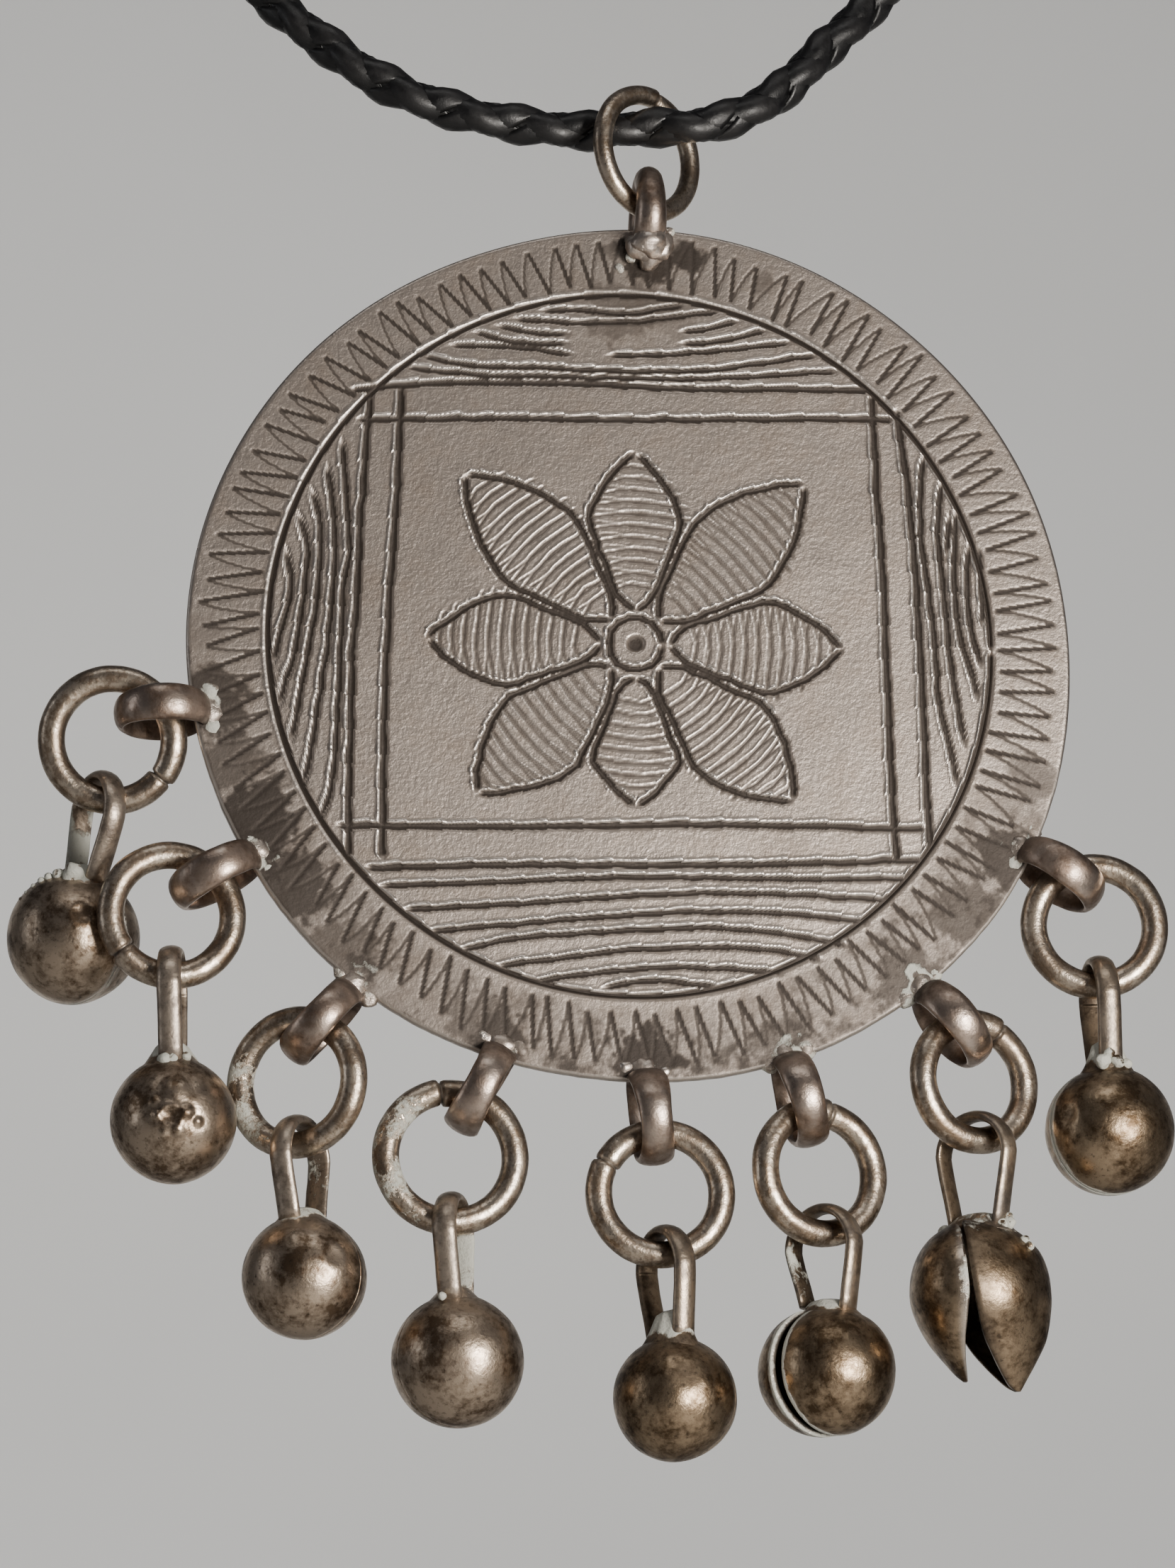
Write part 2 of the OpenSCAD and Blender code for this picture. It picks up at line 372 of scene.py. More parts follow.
def smooth_path(route: np.ndarray, steps: int) -> np.ndarray:
    """Smooth curve through a route's points: the Catmull-Rom cubic between each pair of neighbours.

    Args:
        route: The points.
        steps: Points of the curve to each stretch of the route.

    Returns:
        The points of the curve, both ends included.
    """
    ends = np.vstack([2 * route[0] - route[1], route, 2 * route[-1] - route[-2]])
    a, b, c, d = (ends[k : len(ends) - 3 + k, None] for k in range(4))
    t = (np.arange(steps) / steps)[None, :, None]
    curve = b + (c - a) * t / 2 + (2 * a - 5 * b + 4 * c - d) * t**2 / 2 + (3 * b - a - 3 * c + d) * t**3 / 2
    return np.vstack([curve.reshape(-1, route.shape[1]), route[-1]])


class Graph:
    """A material's node tree, with short calls for the nodes that the finishes share."""

    def __init__(self, name: str) -> None:
        """Starts an empty material with its shader.

        Args:
            name: Name of the material.
        """
        self.material = bpy.data.materials.new(name)
        self.material.use_nodes = True
        self.tree = self.material.node_tree
        self.shader = self.tree.nodes["Principled BSDF"]
        self.place = self.node("ShaderNodeTexCoord").outputs["Object"]

    def node(self, kind: str, **settings: object) -> bpy.types.Node:
        """A new node with the given settings.

        Args:
            kind: Type of the node.
            settings: Its properties by name.

        Returns:
            The node.
        """
        made = self.tree.nodes.new(kind)
        for key, value in settings.items():
            setattr(made, key, value)
        return made

    def feed(self, socket: Socket, value: object) -> None:
        """Links a socket to a node's output, or sets it to a plain value.

        Args:
            socket: The input.
            value: An output, a number or a colour.
        """
        if isinstance(value, Socket):
            self.tree.links.new(value, socket)
        else:
            socket.default_value = value

    def math(self, operation: str, first: object, second: object, clamp: bool = False) -> Socket:
        """A sum, product or difference of two values.

        Args:
            operation: Name of the operation.
            first: An output or a number.
            second: The same.
            clamp: True to hold the result between 0 and 1.

        Returns:
            The result.
        """
        made = self.node("ShaderNodeMath", operation=operation, use_clamp=clamp)
        self.feed(made.inputs[0], first)
        self.feed(made.inputs[1], second)
        return made.outputs[0]

    def times(self, first: Socket, second: Socket | float) -> Socket:
        """The product of two values."""
        return self.math("MULTIPLY", first, second)

    def plus(self, first: Socket, second: Socket, clamp: bool = False) -> Socket:
        """The sum of two values, held between 0 and 1 on demand."""
        return self.math("ADD", first, second, clamp)

    def mapped(
        self, value: Socket, low: float, high: float, to_low: float = 0.0, to_high: float = 1.0
    ) -> Socket:
        """A value taken from one span to another, held at its ends.

        Args:
            value: What is mapped.
            low: Start of its span.
            high: End of its span.
            to_low: Result at the start.
            to_high: Result at the end.

        Returns:
            The result.
        """
        made = self.node("ShaderNodeMapRange", clamp=True)
        for socket, number in zip(made.inputs, (value, low, high, to_low, to_high)):
            self.feed(socket, number)
        return made.outputs[0]

    def noise(self, per_metre: float, detail: float = 3.0, rough: float = 0.55) -> Socket:
        """Cloudy noise on the object's own coordinates.

        Args:
            per_metre: Lumps to the metre.
            detail: Finer layers added.
            rough: Strength of the finer layers.

        Returns:
            The noise, about 0.5 on average.
        """
        made = self.node("ShaderNodeTexNoise")
        self.feed(made.inputs["Vector"], self.place)
        made.inputs["Scale"].default_value = per_metre
        made.inputs["Detail"].default_value = detail
        made.inputs["Roughness"].default_value = rough
        return made.outputs["Fac"]

    def mix(self, share: Socket, first: Socket | Colour, second: Socket | Colour) -> Socket:
        """Blend of two colours.

        Args:
            share: Share of the second colour.
            first: An output or a colour.
            second: The same.

        Returns:
            The blend.
        """
        made = self.node("ShaderNodeMix", data_type="RGBA")
        self.feed(made.inputs["Factor"], share)
        for key, colour in ((6, first), (7, second)):
            self.feed(made.inputs[key], colour if isinstance(colour, Socket) else (*colour, 1.0))
        return made.outputs[2]

    def wear_and_light(self) -> tuple[Socket, Socket, Socket]:
        """The piece's dark, pale and bright values: wear, dirt and corrosion, with painted shade and painted
        highlights.

        Returns:
            The three values, from 0 to 1.
        """
        parts = self.node("ShaderNodeSeparateColor")
        self.feed(parts.inputs[0], self.node("ShaderNodeAttribute", attribute_name="wear_and_light").outputs["Color"])
        return tuple(parts.outputs[k] for k in range(3))

    def relief(self, height: Socket, strength: float, depth_mm: float, under: Socket | None = None) -> Socket:
        """Bump from a height, on top of another bump where one is given.

        Args:
            height: Height from 0 to 1.
            strength: How much of the bump shows.
            depth_mm: What a height of 1 stands for, in millimetres.
            under: Normal with the bump below it, or None.

        Returns:
            The normal with the bumps.
        """
        made = self.node("ShaderNodeBump")
        made.inputs["Strength"].default_value = strength
        made.inputs["Distance"].default_value = depth_mm * MM
        self.feed(made.inputs["Height"], height)
        if under is not None:
            self.feed(made.inputs["Normal"], under)
        return made.outputs["Normal"]

    def finished(
        self, colour: Socket, rough: Socket | float, bumps: Socket, metal: Socket | float = 0.0
    ) -> bpy.types.Material:
        """The material, once its shader is fed.

        Args:
            colour: Base colour.
            rough: Roughness, a value or a socket.
            bumps: Normal with the bumps.
            metal: How metallic it is, a value or a socket.

        Returns:
            The material.
        """
        values = {"Base Color": colour, "Roughness": rough, "Normal": bumps, "Metallic": metal}
        for key, value in values.items():
            self.feed(self.shader.inputs[key], value)
        return self.material


@dataclass(frozen=True)
class TarnishedSilver:
    """Old silver: light metal with brown patches and specks, dark in the cuts with dirt and painted shade,
    pale where it has corroded, and bright where it is rubbed and where highlights are painted on the burrs.
    """

    name: str
    light: Colour = (0.58, 0.50, 0.435)
    brown: Colour = (0.30, 0.235, 0.185)
    # Colour of dirt, specks and painted shade
    dark: Colour = (0.030, 0.022, 0.017)
    pale: Colour = (0.64, 0.645, 0.57)
    # Colour of rubbed metal and of painted highlights
    bright: Colour = (0.92, 0.86, 0.79)
    brown_share: float = 0.5
    specks: float = 0.3
    patch_per_metre: float = 260.0
    soft: float = 0.09
    smooth: float = 0.32
    rough: float = 0.48
    grain: float = 0.5
    grain_per_metre: float = 3200.0
    crumbs_per_metre: float = 2600.0
    uneven: float = 0.25

    def build(self) -> bpy.types.Material:
        """Makes the material.

        Returns:
            The material.
        """
        g = Graph(self.name)
        dark, pale, bright = g.wear_and_light()
        cloud = g.noise(self.patch_per_metre, 5.0, 0.62)
        fine = g.noise(self.patch_per_metre * 5, 4.0, 0.65)
        patches = g.plus(g.times(cloud, 0.62), g.times(fine, 0.38))
        middle = 0.78 - 0.5 * self.brown_share
        tone = g.mix(g.mapped(patches, middle - self.soft, middle + self.soft), self.light, self.brown)
        speck = g.mapped(g.noise(self.patch_per_metre * 7, 3.0, 0.7), 0.58, 0.70, 0.0, self.specks)
        tone = g.mix(speck, tone, self.dark)
        # The dark value paints dirt, stains and painted shade; the bright value paints rubbed metal and
        # painted highlights
        tone = g.mix(g.times(dark, 0.95), tone, self.dark)
        tone = g.mix(g.times(bright, 0.9), tone, self.bright)
        crust = g.mapped(g.plus(pale, g.mapped(fine, 0.3, 0.7, -0.28, 0.28)), 0.30, 0.62)
        tone = g.mix(crust, tone, self.pale)
        dull = g.plus(g.times(crust, 0.95), g.times(dark, 0.45))
        polish = g.plus(g.mapped(patches, 0.35, 0.65, self.smooth, self.rough), g.times(crust, 0.3))
        worn = g.math("SUBTRACT", polish, g.times(bright, 0.06))
        coarse = g.relief(cloud, self.uneven, 0.12)
        grains = g.relief(g.noise(self.grain_per_metre, 3.0, 0.6), self.grain, 0.05, coarse)
        crumbs = g.relief(g.times(g.noise(self.crumbs_per_metre, 4.0, 0.7), crust), 0.8, 0.15, grains)
        metal = g.math("SUBTRACT", 1.0, dull, clamp=True)
        return g.finished(tone, g.plus(worn, g.times(dark, 0.2), clamp=True), crumbs, metal)


@dataclass(frozen=True)
class Leather:
    """Thin laces of black leather with a worn gloss and fine creases along them."""

    name: str = "black_braided_leather"
    black: Colour = (0.004, 0.004, 0.0045)
    rubbed: Colour = (0.022, 0.021, 0.021)
    deep: Colour = (0.003, 0.003, 0.003)
    gloss: float = 0.55

    def build(self) -> bpy.types.Material:
        """Makes the material.

        Returns:
            The material.
        """
        g = Graph(self.name)
        dark, _, bright = g.wear_and_light()
        rubs = g.mapped(g.noise(900.0, 4.0, 0.6), 0.45, 0.75)
        tone = g.mix(g.times(rubs, 0.5), self.black, self.rubbed)
        tone = g.mix(g.times(bright, 0.5), tone, self.rubbed)
        # Painted shade: the dark value darkens the laces where they dip under others, their inner sides and
        # the core
        tone = g.mix(dark, tone, self.deep)
        g.shader.inputs["Specular IOR Level"].default_value = self.gloss
        creases = g.relief(g.noise(3500.0, 4.0, 0.65), 0.5, 0.05)
        grain = g.relief(g.noise(9000.0, 2.0), 0.25, 0.02, creases)
        return g.finished(tone, g.mapped(g.noise(1500.0), 0.3, 0.7, 0.30, 0.52), grain)


@dataclass(frozen=True)
class Paper:
    """Pale seamless paper for the floor and the backdrop."""

    name: str = "pale_paper"
    tone: Colour = (0.74, 0.735, 0.72)
    cloudy: Colour = (0.70, 0.695, 0.68)

    def build(self) -> bpy.types.Material:
        """Makes the material.

        Returns:
            The material.
        """
        g = Graph(self.name)
        tone = g.mix(g.mapped(g.noise(3.0), 0.3, 0.7), self.tone, self.cloudy)
        return g.finished(tone, 0.9, g.relief(g.noise(700.0), 0.1, 0.1))


@dataclass(frozen=True)
class SoftBox:
    """A rectangular light placed round the disc, from a direction told as the disc sees it."""

    name: str
    azimuth: float
    elevation: float
    away: float
    size: tuple[float, float]
    watts: float
    tint: Colour
    on_paper: bool = False

    def build(self) -> None:
        """Sets the light: azimuth from the front towards the right, distances in metres.

        A light that is meant for the paper has its back to the disc. The camera sees none of them.
        """
        back = Vector(seen_from(self.azimuth, self.elevation))
        data = bpy.data.lights.new(self.name, "AREA")
        data.shape = "RECTANGLE"
        data.size, data.size_y = self.size
        data.energy = self.watts
        data.color = self.tint
        lamp = linked(self.name, data)
        lamp.location = Vector(PLACE * MM) + back * self.away
        lamp.rotation_mode = "QUATERNION"
        lamp.rotation_quaternion = (-back if self.on_paper else back).to_track_quat("Z", "Y")
        lamp.visible_camera = False


@dataclass
class Studio:
    """Camera, lights, floor and backdrop.

    The camera's distance is in millimetres; the paper's sizes are in metres.
    """

    azimuth: float = -5.9
    elevation: float = -14.3
    distance: float = 450.0
    image: tuple[float, float] = (1658.0, 2212.0)
    focal_px: float = 8550.0
    disc_px: tuple[float, float] = (888.0, 921.0)
    sensor: float = 36.0
    clip: float = 0.01
    paper_half: float = 3.2
    floor_rows: tuple[float, float] = (-3.2, -1.5)
    floor_z: float = -0.40
    wall_y: float = 2.0
    wall_high: float = 2.6
    bend_r: float = 0.6
    world: Colour = (0.055, 0.055, 0.06)
    lamps: tuple[SoftBox, ...] = (
        SoftBox("key", 29, -12, 0.30, (0.12, 0.12), 1.15, (1.0, 0.95, 0.89)),
        SoftBox("sheet", 0, 60, 0.8, (0.6, 0.3), 0.8, (1.0, 0.98, 0.95)),
        SoftBox("left_edge", -80, 8, 0.8, (0.12, 0.5), 0.35, (0.95, 0.97, 1.0)),
        SoftBox("backdrop", 180, 24, 0.5, (1.2, 0.45), 22.0, (1.0, 0.99, 0.97), on_paper=True),
    )

    def camera(self) -> None:
        """Sets the camera at the photo's angle: it looks up at the disc from below its middle."""
        back = seen_from(self.azimuth, self.elevation)
        right = unit(np.cross(UP, back))
        up = np.cross(back, right)
        side = (self.disc_px[0] - self.image[0] / 2) / self.focal_px
        rise = (self.image[1] / 2 - self.disc_px[1]) / self.focal_px
        place = (back - side * right - rise * up) * self.distance
        data = bpy.data.cameras.new("camera")
        data.sensor_width = self.sensor
        data.lens = self.sensor * self.focal_px / self.image[1]
        data.clip_start = self.clip
        camera = linked("camera", data)
        turn = Matrix(np.column_stack([right, up, back]).tolist()).to_4x4()
        camera.matrix_world = Matrix.Translation(Vector((place + PLACE) * MM)) @ turn
        bpy.context.scene.camera = camera

    def lights(self) -> None:
        """Sets the soft boxes and a dim grey world."""
        for lamp in self.lamps:
            lamp.build()
        world = bpy.data.worlds.new("studio")
        world.use_nodes = True
        world.node_tree.nodes["Background"].inputs["Color"].default_value = (*self.world, 1.0)
        bpy.context.scene.world = world

    def paper(self) -> None:
        """Floor below the pendant and a wall far behind it, as one pale bent sheet."""
        bend = np.radians(np.linspace(0, 90, 9))
        x = np.linspace(-self.paper_half, self.paper_half, 17)
        y = np.concatenate([self.floor_rows, self.wall_y - self.bend_r * (1 - np.sin(bend)), [self.wall_y]])
        z = np.concatenate([[0.0, 0.0], self.bend_r * (1 - np.cos(bend)), [self.wall_high]]) + self.floor_z
        grid = stacked(x, y[:, None], z[:, None])
        quads = grid_quads(np.arange(x.size * y.size).reshape(len(y), len(x)))
        mesh = bpy.data.meshes.new("paper_sweep")
        mesh.from_pydata(grid.reshape(-1, 3).tolist(), [], quads[:, ::-1].tolist())
        mesh.polygons.foreach_set("use_smooth", np.ones(len(quads), bool))
        mesh.materials.append(Paper().build())
        linked("paper_sweep", mesh)


@dataclass
class Cord:
    """Round braid of four leather laces, two each way, and the barrel clasp at the nape.

    route holds the middle line's points in the frame, from the clasp's right end round to its left end.
    """

    thick: float = 3.3
    laces: int = 2
    turn_mm: float = 10.6
    lace_wide: float = 2.45
    lace_thick: float = 0.8
    lace_sides: int = 12
    lace_bend: float = 0.42
    weave: float = 0.42
    step: float = 0.42
    facing: Place = (0, -0.98, 0.2)
    clasp_long: float = 16.0
    clasp_thick: float = 5.4
    grooves_at: tuple[float, float] = (5.2, 6.2)
    groove_deep: float = 0.18
    end_round: float = 0.55
    route: tuple[Place, ...] = (
        (8, 0, 0), (15.5, -0.3, -0.8), (24.5, -0.8, -3.4), (34, -1.8, -8.4),
        (43, -3.5, -16), (50.5, -5.6, -26), (55.8, -8.1, -38.5), (58.3, -10.8, -52),
        (57.8, -13.6, -65.5), (54.8, -16.2, -78.5), (49.7, -18.8, -90.5), (43.3, -21.1, -101.6),
        (36, -22.8, -111.7), (29.1, -24.5, -120), (22.7, -26.2, -127.7), (17.8, -27.6, -133.5),
        (13.9, -28.8, -137.8), (10.5, -29.8, -141.6), (7.2, -30.5, -144), (3.8, -30.7, -145.1),
        (0, -30, -145.2), (-4.5, -29.5, -145.4), (-9.5, -29.5, -145.1), (-15, -29.6, -144.1),
        (-19.8, -29.4, -142.2), (-24.6, -28.8, -138.8), (-30.2, -27.4, -133.4), (-36.8, -25.6, -125.4),
        (-43.3, -23.6, -115.2), (-49, -21.1, -102.1), (-53.8, -18.2, -87.5), (-57.2, -15.1, -72.5),
        (-58.4, -11.9, -57.5), (-57.2, -8.9, -43), (-53.3, -6.2, -30), (-46.8, -4, -19.3),
        (-38, -2.3, -11), (-28, -1.1, -4.9), (-18, -0.3, -1.4), (-8, 0, 0),
    )

    def middle_line(self) -> tuple[np.ndarray, np.ndarray]:
        """The cord's middle line at even steps.

        Returns:
            The points from the disc's middle, and how far along the cord each one is.
        """
        fine = smooth_path(np.array(self.route, float), 24)
        run = run_along(fine)
        even = np.linspace(0, run[-1], int(run[-1] / self.step) + 1)
        return points_at(fine, run, even) - PLACE, even

    def build(self, leather: bpy.types.Material, silver: bpy.types.Material) -> None:
        """Braids the cord and sets the clasp.

        Each lace is a flat oval section carried along a helix round the middle line and bent round it. Where
        it crosses a lace of the other way it goes over and under in turn: its radius swings by a cosine with
        one turn to two crossings. A lace is painted darker where it dips under and on its inner side, as
        painted shade, and a core painted all dark, also as painted shade, closes the gaps behind the laces.

        Args:
            leather: Finish of the laces.
            silver: Finish of the clasp.
        """
        middle, along = self.middle_line()
        heading, facing = unit(np.gradient(middle, axis=0)), np.array(self.facing)
        side = unit(facing - heading * (heading @ facing)[:, None])
        up = np.cross(heading, side)
        reach = self.thick / 2 - self.lace_thick / 2 - self.weave / 2
        angle = turns(self.lace_sides)
        wide = self.lace_wide / 2 * np.cos(angle)
        top = smooth_step(np.sin(angle), -0.1, 0.6)
        skin = Skin()
        for lace, sign in product(range(self.laces), (1, -1)):
            start = (lace + (0.5 if sign < 0 else 0)) / self.laces
            lift = sign * np.cos(math.pi * (2 * self.laces * along / self.turn_mm + 0.5))
            out = spokes(sign * FULL * along / self.turn_mm + FULL * start, side, up)
            track = middle + (reach + self.weave / 2 * lift)[:, None] * out
            across = unit(np.cross(unit(np.gradient(track, axis=0)), out))
            tall = self.lace_thick / 2 * np.sin(angle) * (1 + 0.12 * LUMPS.at(track, 1.3)[:, None])
            # Painted shade: darker where the lace dips under the laces of the other way and on its inner side
            dark = 0.9 * np.maximum(smooth_step(-lift, -0.1, 0.7)[:, None], 1 - top)
            rubbed = smooth_step(lift, 0.1, 0.9)[:, None] * top
            grid = swept(track, out, across, tall - self.lace_bend * wide**2 / reach, wide)
            skin.add_tube(grid, stacked(dark, 0.0, rubbed))
        # Painted shade: an all-dark core fills the gaps behind the laces
        core = middle[:, None] + (reach - 0.1) * spokes(turns(8), side[:, None], up[:, None])
        skin.add_tube(core, DARK_ONLY)
        cord = skin.make("braided_cord", leather, Body.ROOT, Slot.CORD, "cord")
        clasp = self.clasp(silver)

    def clasp(self, silver: bpy.types.Material) -> bpy.types.Object:
        """Plain barrel of revolution about X, with two turned grooves near each end.

        Args:
            silver: The finish.

        Returns:
            The clasp.
        """
        half = self.clasp_long / 2
        ends = half - np.array([0.0, 0.15])
        x = np.concatenate([-ends, np.linspace(0.6 - half, half - 0.6, 60), ends[::-1]])
        groove = sum(bump_at(np.abs(x), place, 0.25) for place in self.grooves_at)
        rounding = self.end_round * smooth_step(np.abs(x), half - 0.7, half)
        radius = self.clasp_thick / 2 - self.groove_deep * groove - rounding
        grid = radius[:, None, None] * spokes(turns(40), -FRONT, UP) - PLACE
        grid[..., 0] += x[:, None]
        skin = Skin()
        skin.add_tube(grid, 0.8 * groove[:, None, None] * DARK_ONLY)
        return skin.make("barrel_clasp", silver, Body.ROOT, Slot.CLASP, "clasp")


def hoop_grid(
    centre: np.ndarray, first: np.ndarray, second: np.ndarray, angle: np.ndarray, radius: np.ndarray | float,
    deep: np.ndarray | float, wide: np.ndarray | float, inner: float = 1.0, sides: int = 18,
) -> np.ndarray:
    """Oval sections carried round a circle.

    Args:
        centre: Middle of the circle, one point or one for each angle.
        first: Direction of angle 0.
        second: Direction of angle 90.
        angle: Angle of each section, in radians.
        radius: Radius of the circle to the middle of the section, one or one for each angle.
        deep: Half thickness of the section along the radius.
        wide: Half width of the section across the circle's plane.
        inner: Share of the half thickness on the inside, less than 1 for a domed band.
        sides: Points round a section.

    Returns:
        Sections by points by 3.
    """
    out, turn = spokes(angle, first, second), turns(sides)
    radius, deep, wide = (np.broadcast_to(value, angle.shape)[:, None] for value in (radius, deep, wide))
    rise, side = deep * domed(turn, inner), wide * np.sin(turn)
    return swept(centre + radius * out, out, np.cross(first, second), rise, side)


def on_circle(centre: tuple[float, float], radius: np.ndarray | float, angle: np.ndarray) -> np.ndarray:
    """Points (x, z) of the disc's face on a circle about a centre."""
    return stacked(centre[0] + radius * np.cos(angle), centre[1] + radius * np.sin(angle))


def raised(flat: np.ndarray, y: np.ndarray | float) -> np.ndarray:
    """Points (x, z) of the disc's face as places in space at a depth y."""
    return stacked(flat[..., 0], y, flat[..., 1])


def apart(face: np.ndarray, x: float, z: float) -> np.ndarray:
    """Distance of each place from (x, z), seen from the front."""
    return np.hypot(face[..., 0] - x, face[..., 2] - z)


def hammered(grid: np.ndarray, size: float, height: float) -> np.ndarray:
    """Moves each point of a tube away from its section's middle by a share that lumps of one size give."""
    middle = grid.mean(axis=1, keepdims=True)
    return middle + (grid - middle) * (1 + height * LUMPS.rough(grid, size)[..., None])


@dataclass(frozen=True)
class Cut:
    """One kind of engraved line: its section, its burr, how dark its cut is painted with dirt and painted
    shade, how far that dark reaches towards the line's lit side, and the short pushes of the graver that made
    it.
    """

    depth: float
    half: float
    burr: float
    push: float = 0.9
    start: float = 0.5
    end: float = 0.5
    # How dark the cut is painted: dirt in it, with painted shade on the side away from the key light
    dirt_and_shade: float = 0.8
    knot: float = 0.4
    # How far that dark reaches across the cut towards its lit side
    clean: float = 0.95


class Engraving:
    """What the graver leaves in a patch of the disc's face: cuts, burrs beside them and dirt in them, with
    painted highlights on the burrs and painted shade in the cuts.
    """

    # Direction in the face of each line's lit side, where the cut's wall faces the key light low on the
    # right: the burr stands there and is painted bright as a highlight, and the cut's dark with its painted
    # shade is held back from it
    LIT_SIDE = (-0.62, 0.78)
    BURR_HIGH = 0.09
    BARE_DEPTH = 0.06

    def __init__(self, face: np.ndarray) -> None:
        """Takes the uncut patch.

        Args:
            face: Rows by columns by 3.
        """
        self.face = face
        flat = face.reshape(-1, 3)
        self.order = np.argsort(flat[:, 0])
        self.x, self.z = flat[self.order, 0], flat[self.order, 2]
        self.cut, self.burr, self.dirt_and_shade = np.zeros((3, len(flat)))

    def stroke(self, path: np.ndarray, cut: Cut) -> None:
        """Cuts one line.

        The cut is a V whose depth falls off with the distance from the path. Its width grows along each push
        of the graver and steps back at the next one, and both ends run out. The burr rises on the upper left
        of every line, where the cut's wall faces the key light low on the right, and is painted bright as a
        highlight. The dark in the cut is dirt, with painted shade on the side turned away from that light,
        and is held back from the lit side.

        Args:
            path: Points (x, z) of the line.
            cut: Its kind.
        """
        run = run_along(path)
        reach = 1.4 * cut.half + 0.4
        for a, b, before in zip(path[:-1], path[1:], run[:-1]):
            low, high = np.searchsorted(self.x, [min(a[0], b[0]) - reach, max(a[0], b[0]) + reach])
            level = np.abs(self.z[low:high] - (a[1] + b[1]) / 2) < abs(a[1] - b[1]) / 2 + reach
            near = low + np.flatnonzero(level)
            length, ahead = float(np.linalg.norm(b - a)), unit(b - a)
            off = stacked(self.x[near], self.z[near]) - a
            along = np.clip(off @ ahead, 0, length)
            gap = np.linalg.norm(off - along[:, None] * ahead, axis=1)
            normal = np.array([-ahead[1], ahead[0]])
            # How squarely the line's side faces the lit side: it picks the side of the burr and its painted
            # highlight, and makes it stronger
            lean = float(normal @ self.LIT_SIDE)
            done = before + along
            taper = smooth_step(done, -0.1, cut.start) * smooth_step(run[-1] - done, -0.1, cut.end)
            push = (done / cut.push) % 1
            half = cut.half * (0.45 + 0.55 * taper) * (0.82 + 0.36 * push)
            share = np.clip(1 - gap / half, 0, 1)
            side = (off @ normal) * (1 if lean > 0 else -1) / half
            # Dark in the cut: dirt, and painted shade on the wall turned away from the key light
            dirt_and_shade_mask = smooth_step(share, 0.0, 0.2) * smooth_step(cut.clean - side, 0.0, 0.3)
            knot = (1 - cut.knot + 1.6 * cut.knot * push**3) * (0.6 + 0.4 * abs(lean))
            ridge = knot * bump_at(gap, half + 0.04, 0.10) * smooth_step(side, 0.2, 0.7)
            self.cut[near] = np.maximum(self.cut[near], cut.depth * taper * share**0.7)
            self.dirt_and_shade[near] = np.maximum(self.dirt_and_shade[near], cut.dirt_and_shade * taper * dirt_and_shade_mask)
            self.burr[near] = np.maximum(self.burr[near], cut.burr * taper * ridge)

    def pit(self, x: float, z: float, radius: float, depth: float) -> None:
        """Sinks a round punch mark with a steep wall and a dirty floor.

        Args:
            x: Its place to the right.
            z: Its place upwards.
            radius: Radius of its mouth.
            depth: Its depth.
        """
        gap = np.hypot(self.x - x, self.z - z)
        inside = smooth_step(-gap, -radius - 0.12, -radius + 0.2)
        self.cut = np.maximum(self.cut, depth * inside)
        self.dirt_and_shade = np.maximum(self.dirt_and_shade, inside)

    def finished(self, stain: np.ndarray) -> tuple[np.ndarray, np.ndarray]:
        """The patch with its relief.

        Args:
            stain: Dark stains on the metal, in the face's arrangement.

        Returns:
            The face, moved along Y by its cuts and burrs, and its values of wear and painted light.
        """
        marks = np.zeros((3, len(self.order)))
        marks[:, self.order] = np.stack([self.cut, self.burr, self.dirt_and_shade])
        cut, burr, dirt_and_shade = marks.reshape(3, *self.face.shape[:-1])
        burr = burr * np.clip(1 - cut / self.BARE_DEPTH, 0, 1)
        face = self.face.copy()
        face[..., 1] += cut - burr
        # Painted highlight: each burr is painted bright by its height. The dark is dirt and painted shade in
        # the cuts, and the stains.
        bright = np.clip(burr / self.BURR_HIGH, 0, 1)
        dark = np.clip(np.maximum(dirt_and_shade * (1 - bright), stain * (1 - 0.4 * bright)), 0, 1)
        return face, stacked(dark, 0.0, 0.9 * bright * (1 - 0.8 * stain))


